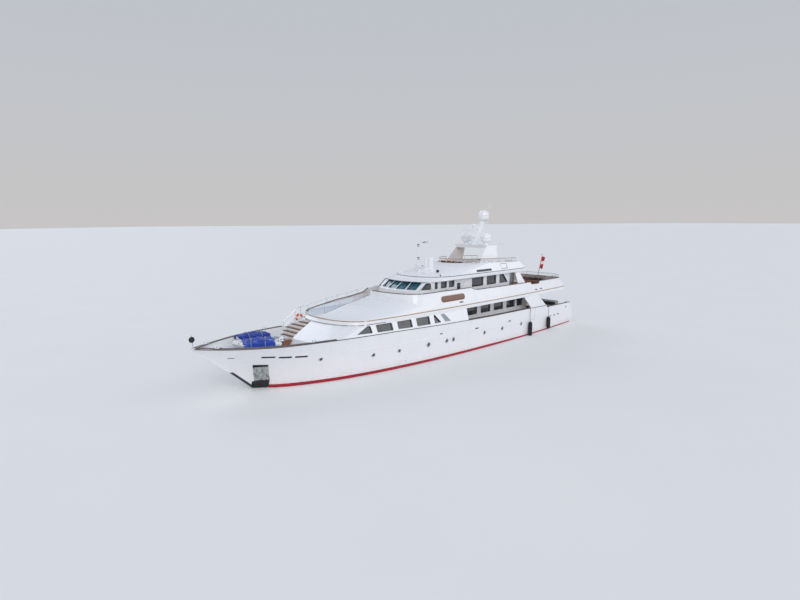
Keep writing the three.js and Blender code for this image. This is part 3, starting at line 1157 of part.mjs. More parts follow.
add('signal_mast', signalMast(roof), WHITE);
add('flagstaff', flagstaff(bulwark), TEAK);
add('ensign', ensign(), RED);
add('jackstaff', jackstaff(sides), STEEL);

const foreSheets = foreGlass(house, sides);
add('fore_glass_port', foreSheets.port, GLASS_DARK);
add('fore_glass_starboard', foreSheets.starboard, GLASS_DARK);
add('wheelhouse_glass', upperGlass(5.96, 6.64, 3.6, -1.6), GLASS_DARK);

for (const [name, side] of [['port', 1], ['starboard', -1]]) {
  add(`lounge_glass_${name}`, box(-10.0, -3.9, side > 0 ? 2.725 - GAP : -2.75 + GAP,
    side > 0 ? 2.75 - GAP : -2.725 + GAP, 5.66, 6.64), GLASS_DARK);
  add(`main_wing_${name}`, mainWing(side, sides), WHITE);
  add(`upper_wing_${name}`, upperWing(side, roof, bulwark), WHITE);
  add(`saloon_door_${name}`, saloonDoor(side), STEEL);
  add(`wing_door_${name}`, wingDoor(side), WHITE);
  add(`engine_${name}`, box(-8.9, -5.6, side * 1.45 - 0.65, side * 1.45 + 0.65, ENGINE_ROOM.floor + GAP,
    0.45), ENGINE_GREY);
  add(`anchor_plate_${name}`, anchorPlate(side, hull, deck), STEEL);
  add(`windlass_${name}`, windlass(side), STEEL);
  add(`shaft_${name}`, shaft(side, hull), BRONZE);
  add(`propeller_${name}`, propeller(side), BRONZE);
  add(`rudder_${name}`, rudder(side), WHITE);
}
add('main_glass', mainGlass(), GLASS_DARK);
add('anchor', anchor(hull, deck, anchorPlate(-1, hull, deck)), STEEL);
add('lounge_door', loungeDoor(), STEEL);
add('aft_stair', aftStair(), TEAK);

const portBoat = coveredBoat(BOATS.port);
const starboardBoat = coveredBoat(BOATS.starboard);
add('boat_port', portBoat, BLUE);
add('boat_starboard', starboardBoat, BLUE);
add('boat_chocks', boatChocks([portBoat, starboardBoat], deck, sides), TEAK);
add('fender_fore', fender(FENDERS[0], hull, deck, sides), BLACK);
add('fender_aft', fender(FENDERS[1], hull, deck, sides), BLACK);
add('aft_settee', aftSettee(), CREAM);
add('aft_table', table(AFT_TABLE.x, AFT_TABLE.y, AFT_DECK, AFT_TABLE.long, AFT_TABLE.wide, 0.74), TEAK);
add('upper_table', table(UPPER_TABLE.x, UPPER_TABLE.y, UPPER_DECK, UPPER_TABLE.long, UPPER_TABLE.wide,
  0.74), TEAK);
add('stern_rail', sternRail(bulwark), STEEL);

export default yacht;
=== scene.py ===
import functools
import json
import math

import bpy
import numpy as np
from mathutils import Matrix, Vector, noise
from mathutils.bvhtree import BVHTree

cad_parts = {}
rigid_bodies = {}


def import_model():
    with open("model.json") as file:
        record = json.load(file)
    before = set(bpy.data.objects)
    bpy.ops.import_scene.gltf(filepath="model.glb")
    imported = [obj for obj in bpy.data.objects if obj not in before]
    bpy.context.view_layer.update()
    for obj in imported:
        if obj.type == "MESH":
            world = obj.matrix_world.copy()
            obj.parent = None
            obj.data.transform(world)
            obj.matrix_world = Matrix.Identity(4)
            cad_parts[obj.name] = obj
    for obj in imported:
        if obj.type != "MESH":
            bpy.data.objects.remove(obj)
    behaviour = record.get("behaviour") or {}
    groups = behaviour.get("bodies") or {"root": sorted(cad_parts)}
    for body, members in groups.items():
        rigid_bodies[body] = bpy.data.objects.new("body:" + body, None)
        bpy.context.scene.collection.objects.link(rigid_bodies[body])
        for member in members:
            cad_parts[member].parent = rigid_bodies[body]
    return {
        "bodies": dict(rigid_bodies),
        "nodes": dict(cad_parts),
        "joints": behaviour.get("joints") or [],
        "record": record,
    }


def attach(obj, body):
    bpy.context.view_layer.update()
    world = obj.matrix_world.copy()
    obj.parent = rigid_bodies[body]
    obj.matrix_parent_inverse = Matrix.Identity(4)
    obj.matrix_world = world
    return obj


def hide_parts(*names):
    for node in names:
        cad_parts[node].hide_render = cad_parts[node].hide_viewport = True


# Motor yacht as a 1:2 model. Sizes below are metres of the full-size yacht, +X to the bow, +Y to
# port, Z = 0 at the waterline, and every mesh is halved as it is made.
SCALE = 0.5
SIDES = {"port": 1, "starboard": -1}
YACHT = "yacht"
PLATFORM, AFT_DECK, FOREDECK, UPPER_DECK, SUNDECK = 0.5, 1.5, 2.4, 4.45, 7.2  # levels to stand on
UP = Vector((0, 0, 1))

# The photograph's view, as solved from known points: the lens, and the camera's place and axes.
LENS = 25.2
CAMERA_PLACE = (37.8894, 36.3764, 12.5)
CAMERA_FORWARD = (-0.686973, -0.711381, -0.148340)
CAMERA_RIGHT = (-0.718622, 0.695368, -0.006725)

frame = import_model()
nodes = frame["nodes"]
scene = bpy.context.scene
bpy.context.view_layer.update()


# Camera, floor and light

def make_camera():
    """The photograph's view."""
    data = bpy.data.cameras.new("camera")
    data.sensor_width = 36.0
    data.lens = LENS
    data.clip_start = 0.1
    data.clip_end = 400.0
    camera = bpy.data.objects.new("camera", data)
    scene.collection.objects.link(camera)
    forward, right = Vector(CAMERA_FORWARD), Vector(CAMERA_RIGHT)
    up = right.cross(forward)
    turn = Matrix((right, up, -forward)).transposed().to_4x4()
    camera.matrix_world = Matrix.Translation(Vector(CAMERA_PLACE) * SCALE) @ turn
    scene.camera = camera


def make_floor(material):
    """A pale studio floor at the waterline."""
    mesh = bpy.data.meshes.new("floor")
    half = 400.0
    corners = [(-half, -half, 0), (half, -half, 0), (half, half, 0), (-half, half, 0)]
    mesh.from_pydata(corners, [], [(0, 1, 2, 3)])
    mesh.materials.append(material)
    floor = bpy.data.objects.new("floor", mesh)
    scene.collection.objects.link(floor)


def make_light():
    """A soft sky and three wide lamps."""
    world = bpy.data.worlds.new("studio")
    world.use_nodes = True
    tree = world.node_tree
    tree.nodes.clear()
    start = Wire(tree)
    coords = start.node("ShaderNodeTexCoord", output="Generated")
    height = start.node("ShaderNodeSeparateXYZ", inputs={0: coords}, output="Z")
    sky = (height * 1.3).ramp([
        (0.0, (0.95, 0.93, 0.93, 1)), (0.25, (0.90, 0.93, 0.98, 1)), (0.9, (0.76, 0.84, 0.97, 1))])
    background = start.node("ShaderNodeBackground", inputs={"Color": sky, "Strength": 0.6})
    output = tree.nodes.new("ShaderNodeOutputWorld")
    tree.links.new(background.socket, output.inputs["Surface"])
    scene.world = world
    for name, place, power, colour in (
        ("key", (26, 34, 26), 1.05, (1.0, 0.95, 0.94)),
        ("fill", (-30, 26, 18), 0.35, (0.96, 0.97, 1.0)),
        ("back", (-6, -36, 20), 0.5, (0.88, 0.93, 1.0)),
    ):
        data = bpy.data.lights.new(name, "SUN")
        data.angle = math.radians(38)
        data.energy = power
        data.color = colour
        light = bpy.data.objects.new(name, data)
        light.location = Vector(place) * SCALE
        light.rotation_mode = "QUATERNION"
        light.rotation_quaternion = Vector(place).to_track_quat("Z", "Y")
        scene.collection.objects.link(light)
    scene.view_settings.view_transform = "Standard"


# Materials

def tint(code):
    """A colour from its six hexadecimal digits, in the linear numbers that a shader takes."""
    parts = [int(code[i:i + 2], 16) / 255 for i in (0, 2, 4)]
    return tuple(p / 12.92 if p <= 0.04045 else ((p + 0.055) / 1.055) ** 2.4 for p in parts) + (1.0,)


class Wire:
    """One output of a material's nodes. Python's operators on it add Math nodes."""

    def __init__(self, tree, socket=None):
        self.tree = tree
        self.socket = socket

    def node(self, kind, settings=None, inputs=None, output=0):
        made = self.tree.nodes.new(kind)
        for name, value in (settings or {}).items():
            if name == "stops":
                elements = made.color_ramp.elements
                while len(elements) < len(value):
                    elements.new(1.0)
                for element, (place, colour) in zip(elements, value):
                    element.position = place
                    element.color = colour
            else:
                setattr(made, name, value)
        for name, value in (inputs or {}).items():
            if isinstance(value, Wire):
                self.tree.links.new(value.socket, made.inputs[name])
            else:
                made.inputs[name].default_value = value
        return Wire(self.tree, made.outputs[output])

    def math(self, operation, first, second=0.0):
        return self.node("ShaderNodeMath", {"operation": operation}, {0: first, 1: second})

    def __add__(self, other):
        return self.math("ADD", self, other)

    def __sub__(self, other):
        return self.math("SUBTRACT", self, other)

    def __rsub__(self, other):
        return self.math("SUBTRACT", other, self)

    def __mul__(self, other):
        return self.math("MULTIPLY", self, other)

    def __truediv__(self, other):
        return self.math("DIVIDE", self, other)

    def __gt__(self, other):
        return self.math("GREATER_THAN", self, other)

    __radd__ = __add__
    __rmul__ = __mul__

    def absolute(self):
        return self.math("ABSOLUTE", self)

    def ramp(self, stops):
        return self.node("ShaderNodeValToRGB", {"stops": stops}, {0: self})

    def between(self, low, high, soft=0.02):
        """1 where the value is from low to high, with soft edges."""
        rise = self.step(low - soft, low + soft)
        return rise * (1 - self.step(high - soft, high + soft))

    def step(self, low, high):
        settings = {"interpolation_type": "SMOOTHSTEP"}
        return self.node("ShaderNodeMapRange", settings, {"Value": self, "From Min": low, "From Max": high})

    def mix(self, low, high):
        """The colour low where this value is 0 and high where it is 1."""
        return self.node("ShaderNodeMix", {"data_type": "RGBA"}, {0: self, 6: low, 7: high}, 2)

    def coords(self):
        """Where a point is on the full-size yacht, as a vector."""
        here = self.node("ShaderNodeTexCoord", output="Object")
        return self.node("ShaderNodeVectorMath", {"operation": "SCALE"}, {0: here, "Scale": 1 / SCALE})

    def place(self):
        """A point's three coordinates on the full-size yacht."""
        here = self.coords()
        return [self.node("ShaderNodeSeparateXYZ", inputs={0: here}, output=axis) for axis in "XYZ"]

    def facing_up(self):
        """How far a face looks up, from -1 to 1."""
        turn = self.node("ShaderNodeNewGeometry", output="Normal")
        return self.node("ShaderNodeSeparateXYZ", inputs={0: turn}, output="Z")

    def noise(self, scale, detail=3.0, stretch=(1, 1, 1), rough=0.5):
        here = self.node("ShaderNodeVectorMath", {"operation": "MULTIPLY"}, {0: self.coords(), 1: stretch})
        given = {"Vector": here, "Scale": scale, "Detail": detail, "Roughness": rough}
        return self.node("ShaderNodeTexNoise", inputs=given)

    def bump(self, height, strength, distance):
        given = {"Strength": strength, "Distance": distance, "Height": height}
        return self.node("ShaderNodeBump", inputs=given, output="Normal")


def finish(name, paint, **options):
    material = bpy.data.materials.new(name)
    material.use_nodes = True
    tree = material.node_tree
    tree.nodes.clear()
    start = Wire(tree)
    shader = start.node("ShaderNodeBsdfPrincipled", inputs=paint(start, **options))
    output = tree.nodes.new("ShaderNodeOutputMaterial")
    tree.links.new(shader.socket, output.inputs["Surface"])
    return material


def weathered(start, light, dark, patches, streaks, stretch, soft):
    """White paint's tone with faint patches and with streaks below the edges, and the patches."""
    cloud = start.noise(patches, 4)
    streak = start.noise(streaks, 5, stretch).step(*soft)
    return (cloud * 0.6 + streak * 0.4).mix(tint(light), tint(dark)), cloud


def gloss_paint(start, light="f4f5f8", dark="e9ecf1", roughness=0.2):
    """Sprayed gloss paint with orange peel."""
    tone, cloud = weathered(start, light, dark, 0.45, 1.0, (3.0, 3.0, 0.25), (0.45, 0.8))
    peel = start.noise(60, 2)
    return {"Base Color": tone, "Roughness": roughness + 0.1 * cloud, "Coat Weight": 0.35, "Coat Roughness": 0.06,
            "Normal": start.bump(peel, 0.06, 0.001)}


def planks(start, along, across, width=0.07):
    """A mask of the dark seams between deck planks, and the tone of each plank."""
    row = across / width
    edge = (row - start.math("FLOOR", row)).between(0.06, 0.94, 0.04)
    butt = (along / 2.6 + start.math("FLOOR", row) * 0.37)
    end = (butt - start.math("FLOOR", butt)).between(0.004, 0.996, 0.003)
    number = start.math("FLOOR", row) * 12.9898 + start.math("FLOOR", butt) * 78.233
    tone = start.math("FRACT", start.math("SINE", number) * 43758.5)
    return edge * end, tone


def teak_look(start, along, across):
    """A mask of the planks, their colour and their grain."""
    board, tone = planks(start, along, across)
    grain = start.noise(9, 5, (0.25, 4.0, 1.0))
    wood = (tone * 0.55 + grain * 0.45).mix(tint("b98f63"), tint("8b6540"))
    return board, board.mix(tint("2a2420"), wood), grain


def teak_deck(start):
    """Laid teak planks."""
    x, y, _ = start.place()
    board, colour, grain = teak_look(start, x, y)
    return {"Base Color": colour, "Roughness": 0.62 + 0.2 * grain,
            "Normal": start.bump(board * 0.8 + grain * 0.2, 0.5, 0.003)}


def floored(start, colour, decks, treads, light, dark):
    """A paint's colour and normal, with teak where decks is 1 and a rough tread where treads is 1."""
    x, y, _ = start.place()
    board, wood, grain = teak_look(start, x, y)
    speckle = start.noise(45, 3)
    colour = treads.mix(decks.mix(colour, wood), speckle.mix(tint(light), tint(dark)))
    height = decks * (board * 0.8 + grain * 0.2) + treads * speckle * 0.5
    return colour, start.bump(height, 0.45, 0.003)


def level_faces(start):
    """A mask of what faces up, which tells a deck from a wall."""
    return start.facing_up().step(0.9, 0.96)


def hull_paint(start):
    """White topsides, dark antifouling below the waterline, teak decks and the pale foredeck."""
    x, _, z = start.place()
    white, cloud = weathered(start, "f5f4f7", "e6e7ed", 0.35, 1.2, (4.0, 4.0, 0.2), (0.5, 0.85))
    stain = (start.noise(3.0, 5, (1.0, 1.0, 2.5)) * (1 - z.step(0.25, 1.3))).step(0.3, 0.75)
    white = (stain * 0.35).mix(white, tint("c9bfae"))
    below = 1 - z.step(-0.03, 0.0)
    slime = start.noise(1.6, 6).mix(tint("10202c"), tint("1c2f38"))
    colour = below.mix(white, slime)
    # the anchor pocket's foot
    pocket = x.between(17.14, 18.1, 0.01) * (1 - z.step(0.57, 0.59))
    colour = pocket.mix(colour, tint("15191c"))
    level = level_faces(start)
    decks = level * z.between(1.42, 2.12, 0.03)
    treads = level * z.between(2.34, 2.46, 0.02)
    colour, normal = floored(start, colour, decks, treads, "dfe5ec", "cfd7e0")
    return {"Base Color": colour, "Roughness": 0.2 + 0.1 * cloud + 0.4 * decks + 0.4 * treads + 0.45 * below,
            "Coat Weight": 0.4 * (1 - decks) * (1 - below) * (1 - treads), "Coat Roughness": 0.05,
            "Normal": normal}


def house_paint(start, floors=(), walk=(), starboard=False):
    """White superstructure, with teak on the floors and a rough pale tread on the walks.

    Each row is lowest and highest level, then the ends of the floor along the yacht. starboard
    keeps the walks to the walkway beside the coach roof."""
    x, y, z = start.place()
    colour, cloud = weathered(start, "f4f6f9", "e7ebf1", 0.5, 1.2, (4.0, 4.0, 0.25), (0.5, 0.85))
    level = level_faces(start)
    def laid(rows):
        mask = level * 0.0
        for low, high, aft, fore in rows:
            mask = mask + level * z.between(low, high, 0.02) * x.between(aft, fore, 0.02)
        return mask
    decks, treads = laid(floors), laid(walk)
    if starboard:
        treads = treads * (1 - (y + 1.81 - x * 0.0818).step(-0.02, 0.0))
    colour, normal = floored(start, colour, decks, treads, "d5dde6", "c3ccd8")
    return {"Base Color": colour, "Roughness": 0.22 + 0.1 * cloud + 0.4 * decks + 0.4 * treads,
            "Coat Weight": 0.35 * (1 - decks) * (1 - treads), "Coat Roughness": 0.06, "Normal": normal}


def window_glass(start, light, dark, front=None):
    """Tinted glass with the room's shadows behind it. front is the tint forward of the sides."""
    x, y, z = start.place()
    room = start.noise(0.8, 2, (1.0, 1.0, 1.6))
    wave = start.noise(2.2, 2)
    colour = room.step(0.35, 0.7).mix(tint(light), tint(dark))
    if front:
        # the raked panes ahead of the wheelhouse's sides
        ahead = (x - y.absolute() * 0.1 + (z - 6.0) * 1.9).step(2.55, 2.62) * (1 - y.absolute().step(2.5, 2.62))
        colour = ahead.mix(colour, room.step(0.3, 0.75).mix(tint(front[0]), tint(front[1])))
    return {"Base Color": colour, "Roughness": 0.05 + 0.05 * wave,
            "Specular IOR Level": 0.65, "Coat Weight": 0.6, "Coat Roughness": 0.02,
            "Normal": start.bump(wave, 0.05, 0.004)}


def polished_steel(start):
    """Brushed and polished stainless steel."""
    brush = start.noise(30, 3, (0.3, 1.0, 1.0))
    stain = start.noise(3.5, 4).step(0.45, 0.75)
    return {"Base Color": stain.mix(tint("d6dade"), tint("b4b6b6")), "Metallic": 1.0,
            "Roughness": 0.16 + 0.12 * brush + 0.12 * stain, "Normal": start.bump(brush, 0.08, 0.001)}


BALL_X, BALL_Z = 22.33, 4.33  # the middle of the ball on the bow's staff


def staff_steel(start):
    """Polished steel, and a black ball at the top of the bow's staff."""
    x, y, z = start.place()
    ahead, above = x - BALL_X, z - BALL_Z
    ball = 1 - (ahead * ahead + y * y + above * above).step(0.055, 0.06)
    look = polished_steel(start)
    look["Base Color"] = ball.mix(look["Base Color"], tint("17191c"))
    look["Metallic"] = 1 - ball
    look["Roughness"] = look["Roughness"] + ball * 0.35
    return look


def door_paint(start, axis, pane, trim):
    """A white door. Its pane and its steel trim are told by how far out along an axis they lie."""
    out = dict(zip("XYZ", start.place()))[axis].absolute()
    turn = start.node("ShaderNodeTexCoord", output="Normal")
    across = start.node("ShaderNodeSeparateXYZ", inputs={0: turn}, output=axis).absolute().step(0.6, 0.8)
    glass = out.between(pane[0], pane[1], 0.001) * across
    steel = out.step(trim - 0.001, trim + 0.001)
    cloud = start.noise(0.8, 4)
    colour = glass.mix(cloud.mix(tint("f3f5f8"), tint("e6eaef")), cloud.mix(tint("343a40"), tint("1b2024")))
    return {"Base Color": steel.mix(colour, tint("c9cdd1")), "Metallic": steel, "Roughness": 0.24 - 0.14 * glass,
            "Coat Weight": 0.3, "Normal": start.bump(cloud, 0.04, 0.002)}


def anchor_steel(start):
    """The pocket's plate: a band of painted shadow at the top, mottled bare steel, black near the waterline."""
    _, _, z = start.place()
    scuff = start.noise(5.5, 6, (1.0, 1.0, 0.5))
    bright = scuff.step(0.35, 0.75).mix(tint("c3c8c9"), tint("7d827f"))
    dark = scuff.mix(tint("15191c"), tint("262b2e"))
    black = (z - scuff * 0.12).step(0.56, 0.64)
    # painted shadow: the dark band at the top is the shade inside the pocket's top
    top = (z + scuff * 0.06).step(1.84, 1.88)
    colour = black.mix(dark, top.mix(bright, dark))
    return {"Base Color": colour, "Metallic": 0.75 * black, "Roughness": 0.35 + 0.3 * scuff,
            "Normal": start.bump(scuff, 0.3, 0.004)}


def cast_bronze(start):
    """Cast bronze with dull patches."""
    cloud = start.noise(6, 5)
    return {"Base Color": cloud.mix(tint("a07b3e"), tint("7c6a45")), "Metallic": 1.0,
            "Roughness": 0.3 + 0.25 * cloud, "Normal": start.bump(cloud, 0.2, 0.002)}


def moulded_rubber(start, light="1b1c1f", dark="111214"):
    """Grained rubber or plastic."""
    grain = start.noise(40, 4)
    scuff = start.noise(4, 5).step(0.5, 0.8)
    return {"Base Color": (grain * 0.5 + scuff * 0.5).mix(tint(dark), tint(light)), "Roughness": 0.55 + 0.2 * grain,
            "Normal": start.bump(grain, 0.25, 0.001)}


def varnished_wood(start, light="a0602c", dark="6b3a18"):
    """Wood grain and pores below gloss varnish."""
    grain = start.noise(5, 6, (0.35, 3.0, 3.0), 0.62)
    pores = start.noise(40, 3, (0.12, 2.0, 2.0))
    return {"Base Color": (grain * 0.75 + pores * 0.25).mix(tint(light), tint(dark)),
            "Roughness": 0.18 + 0.1 * pores, "Coat Weight": 0.7, "Coat Roughness": 0.04,
            "Normal": start.bump(pores, 0.1, 0.001)}


def painted_line(start, light="b58a4a", dark="8c6630"):
    """A painted or inlaid line with some wear."""
    wear = start.noise(6, 5)
    return {"Base Color": wear.step(0.4, 0.8).mix(tint(light), tint(dark)), "Roughness": 0.3 + 0.2 * wear,
            "Normal": start.bump(wear, 0.08, 0.001)}


THREAD = 420.0  # radians of a thread's wave in a metre


def woven_cloth(start, light, dark, fade):
    """Plain-woven cloth: threads over and under, with painted crease shade and patches of painted highlight in the
    tone.
    """
    x, y, z = start.place()
    warp = start.math("SINE", (x + 0.5 * z) * THREAD)
    weft = start.math("SINE", (y - 0.5 * z) * THREAD)
    weave = warp * weft * 0.5 + 0.5
    cloud = start.noise(2.0, 5)
    # painted shade: the cloud's darker patches stand for shade in the creases
    colour = (weave * 0.35 + cloud * 0.65).mix(tint(dark), tint(light))
    # painted highlight: random patches lean to the lighter highlight tint, as light falling on the cloth
    highlight_patches = cloud.step(0.5, 0.75) * 0.6
    return {"Base Color": highlight_patches.mix(colour, tint(fade)), "Roughness": 0.72 + 0.15 * weave, "Sheen Weight": 0.25,
            "Normal": start.bump(weave * 0.6 + start.noise(16, 4) * 0.4, 0.25, 0.002)}


def flag_bunting(start):
    """Red bunting with a white band across the middle of the hoist."""
    _, _, z = start.place()
    weave = start.math("SINE", z * THREAD) * 0.5 + 0.5
    cloud = start.noise(3, 4)
    red = cloud.mix(tint("c4202e"), tint("8f1620"))
    white = cloud.mix(tint("f2eeee"), tint("d9d4d6"))
    band = z.between(6.68, 7.05, 0.012)
    return {"Base Color": band.mix(red, white), "Roughness": 0.7 + 0.1 * weave, "Sheen Weight": 0.3,
            "Normal": start.bump(weave, 0.15, 0.001)}


def floor_paint(start):
    """The studio floor."""
    cloud = start.noise(0.15, 3)
    return {"Base Color": cloud.mix(tint("f2f2f1"), tint("edeeee")), "Roughness": 0.75 + 0.1 * cloud}


def lamp_lens(start, light="f2efe2", dark="d9d2b8"):
    """A ribbed lens."""
    ribs = start.math("SINE", start.place()[2] * 260.0) * 0.5 + 0.5
    return {"Base Color": ribs.mix(tint(dark), tint(light)), "Roughness": 0.12 + 0.08 * ribs, "Coat Weight": 0.5,
            "Normal": start.bump(ribs, 0.3, 0.002)}


def tube_fabric(start, light="e8eaec", dark="cfd4d8"):
    """Coated fabric of an inflated tube: fine weave, glued bands and scuffs."""
    grain = start.noise(60, 3)
    scuff = start.noise(3.5, 5).step(0.5, 0.85)
    return {"Base Color": (grain * 0.3 + scuff * 0.7).mix(tint(light), tint(dark)), "Roughness": 0.45 + 0.2 * grain,
            "Normal": start.bump(grain, 0.2, 0.001)}


# Each look's paint, and that paint's options.
LOOKS = {
    "hull": (hull_paint, dict()),
    "white": (gloss_paint, dict()),
    "walk": (house_paint, dict(walk=((2.3, 4.56, 4.0, 13.8),))),
    "coach": (house_paint, dict(walk=((4.3, 4.56, 2.4, 13.8),), starboard=True)),
    "upper": (house_paint, dict(floors=((4.3, 4.6, -20.9, 12.0),))),
    "roof": (house_paint, dict(floors=((7.1, 7.3, -12.6, -3.0),))),
    "platform": (house_paint, dict(floors=((0.4, 0.6, -23.6, -22.4),))),
    "room": (house_paint, dict(floors=((1.9, 2.2, -14.0, -1.0),))),
    "glass": (window_glass, dict(light="3a3c3f", dark="1c1e21")),
    "saloon_door": (door_paint, dict(axis="X", pane=(13.268, 13.306), trim=13.316)),
    "lounge_door": (door_paint, dict(axis="X", pane=(10.218, 10.256), trim=10.266)),
    "wing_door": (door_paint, dict(axis="Y", pane=(2.806, 2.838), trim=2.858)),
    "bridge_glass": (window_glass, dict(light="46514e", dark="20272b", front=("1c6f86", "0d3a50"))),
    "steel": (polished_steel, dict()),
    "jackstaff": (staff_steel, dict()),
    "anchor": (anchor_steel, dict()),
    "bronze": (cast_bronze, dict()),
    "rubber": (moulded_rubber, dict()),
    "black": (moulded_rubber, dict(light="202226", dark="16181b")),
    "teak": (teak_deck, dict()),
    "varnish": (varnished_wood, dict()),
    "board": (varnished_wood, dict(light="7c452c", dark="4d281a")),
    "gold": (painted_line, dict()),
    "cap": (painted_line, dict(light="57433c", dark="3c2f2c")),
    "red": (painted_line, dict(light="ad1e33", dark="7f1a28")),
    "grey": (painted_line, dict(light="8c9299", dark="757b83")),
    "dark_line": (painted_line, dict(light="30343b", dark="22252b")),
    # Each cloth's last tint is the painted highlight of its lighter patches.
    "blue": (woven_cloth, dict(light="2048bd", dark="12308a", fade="7fa6e2")),
    "navy": (woven_cloth, dict(light="1a2f7a", dark="101e52", fade="24408f")),
    "cream": (woven_cloth, dict(light="e9e3d5", dark="d3cbbb", fade="efe9dd")),
    "brown_cloth": (woven_cloth, dict(light="7a4a35", dark="563225", fade="8d5d45")),
    "charcoal": (woven_cloth, dict(light="33373d", dark="1f2226", fade="484d54")),
    "blue_dark": (woven_cloth, dict(light="1c3fae", dark="0f2670", fade="2f55bd")),
    "flag": (flag_bunting, dict()),
    "tube": (tube_fabric, dict()),
    "tube_grey": (tube_fabric, dict(light="9aa3ab", dark="7f8890")),
    "engine": (moulded_rubber, dict(light="9a9fa4", dark="7c8186")),
    "lens": (lamp_lens, dict()),
    "lens_red": (lamp_lens, dict(light="d23a30", dark="8e1712")),
    "lens_green": (lamp_lens, dict(light="2fb464", dark="11713a")),
    "orange": (gloss_paint, dict(light="e8642c", dark="c94f1f", roughness=0.45)),
    "floor": (floor_paint, dict()),
}
MATERIALS = {name: finish(name, paint, **options) for name, (paint, options) in LOOKS.items()}


# Mesh building

class Shape:
    """Points and faces of a piece, in full-size metres. Each face keeps its material's name."""

    def __init__(self, material):
        self.material = material
        self.points = []
        self.faces = []
        self.looks = []

    def add(self, points, faces, material=None):
        start = len(self.points)
        self.points += [Vector(p) for p in points]
        self.faces += [tuple(start + i for i in face) for face in faces]
        self.looks += [material or self.material] * len(faces)

    def skin(self, rows, closed=False, capped=False, material=None):
        """A skin through rows of points. closed joins each row's end to its start."""
        count = len(rows[0])
        faces = []
        for r in range(len(rows) - 1):
            for i in range(count if closed else count - 1):
                a, b = r * count + i, r * count + (i + 1) % count
                faces.append((a, b, b + count, a + count))
        if capped:
            faces.append(tuple(range(count))[::-1])
            faces.append(tuple((len(rows) - 1) * count + i for i in range(count)))
        self.add([p for row in rows for p in row], faces, material)

    def tube(self, path, radius, sides=8, material=None, ring=False, end=None):
        """A round bar along a path. end is its radius at the far end where it tapers, and a list
        gives the radius at each point."""
        path = [Vector(p) for p in path]
        rows = []
        side = None
        count = len(path)
        for i, point in enumerate(path):
            ahead = path[(i + 1) % count] if ring else path[min(i + 1, count - 1)]
            behind = path[i - 1] if ring or i else path[0]
            forward = (ahead - behind).normalized()
            if side is None:
                side = forward.orthogonal().normalized()
            side = (side - forward * side.dot(forward)).normalized()
            other = forward.cross(side)
            if isinstance(radius, list):
                r = radius[i]
            else:
                r = radius if end is None else radius + (end - radius) * i / (count - 1)
            rows.append([point + (side * math.cos(a) + other * math.sin(a)) * r
                         for a in round_angles(sides)])
        if ring:
            rows.append(rows[0])
        self.skin(rows, closed=True, capped=not ring, material=material)

    def band(self, path, outs, profile, material=None, ring=False):
        """A moulding along a path. profile is (out, up) pairs, and outs is the direction out, or a
        list with each point's."""
        rows = []
        outs = outs if isinstance(outs, list) else [outs] * len(path)
        path = [Vector(p) for p in path]
        count = len(path)
        for i, (point, out) in enumerate(zip(path, outs)):
            ahead = path[(i + 1) % count] if ring else path[min(i + 1, count - 1)]
            behind = path[i - 1] if ring or i else path[0]
            forward = (ahead - behind).normalized()
            out = Vector(out)
            out = (out - forward * out.dot(forward)).normalized()
            up = forward.cross(out)
            if up.z < 0 or (abs(up.z) < 0.2 and up.y < 0):
                up = -up
            rows.append([point + out * u + up * v for u, v in profile])
        if ring:
            rows.append(rows[0])
        self.skin(rows, closed=True, capped=not ring, material=material)

    def turned(self, profile, centre, axis=(0, 0, 1), sides=20, material=None):
        """A turned form from (radius, height) pairs along an axis."""
        axis = Vector(axis).normalized()
        side = axis.orthogonal().normalized()
        other = axis.cross(side)
        centre = Vector(centre)
        rows = [[centre + axis * h + (side * math.cos(a) + other * math.sin(a)) * max(r, 0.0005)
                 for a in round_angles(sides)] for r, h in profile]
        self.skin(rows, closed=True, capped=True, material=material)

    def block(self, low, high, edge=0.012, material=None):
        """A box with chamfered edges."""
        low, high = Vector(low), Vector(high)
        middle, half = (low + high) / 2, (high - low) / 2
        edge = min(edge, min(half) * 0.45)
        points = []
        for z, inset in ((-1, 1), (-1, 0), (1, 0), (1, 1)):
            dz = half.z * z - (0 if inset else z * edge)
            wide = edge if inset else 0.0
            for sx, sy in ((-1, -1), (1, -1), (1, 1), (-1, 1)):
                cut_x, cut_y = (sx * (1 - edge / half.x), sy), (sx, sy * (1 - edge / half.y))
                for ux, uy in (cut_y, cut_x) if sx * sy > 0 else (cut_x, cut_y):
                    points.append(middle + Vector((
                        ux * half.x - math.copysign(wide, ux), uy * half.y - math.copysign(wide, uy), dz)))
        self.skin([points[k * 8:k * 8 + 8] for k in range(4)], closed=True, capped=True, material=material)

    def box(self, x, y, half_x, half_y, low, high, edge=0.012, material=None):
        """A block round a point, between two levels."""
        self.block((x - half_x, y - half_y, low), (x + half_x, y + half_y, high), edge, material)

    def take(self, other, place=(0, 0, 0), turn=0.0):
        """Another shape's faces, turned about the vertical and moved."""
        spin = Matrix.Rotation(math.radians(turn), 3, "Z")
        start = len(self.points)
        self.points += [Vector(place) + spin @ p for p in other.points]
        self.faces += [tuple(start + i for i in face) for face in other.faces]
        self.looks += other.looks

    def piece(self, name, slot=None, sharp=38, replaces=()):
        """The shape as an object of the scene. Edges sharper than sharp degrees stay sharp."""
        mesh = bpy.data.meshes.new(name)
        mesh.from_pydata([p * SCALE for p in self.points], [], self.faces)
        used = sorted(set(self.looks))
        for look in used:
            mesh.materials.append(MATERIALS[look])
        mesh.polygons.foreach_set("material_index", [used.index(look) for look in self.looks])
        mesh.validate()
        mesh.shade_smooth()
        mesh.set_sharp_from_angle(angle=math.radians(sharp))
        made = bpy.data.objects.new(name, mesh)
        scene.collection.objects.link(made)
        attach(made, YACHT)
        if replaces:
            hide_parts(*replaces)
        return made


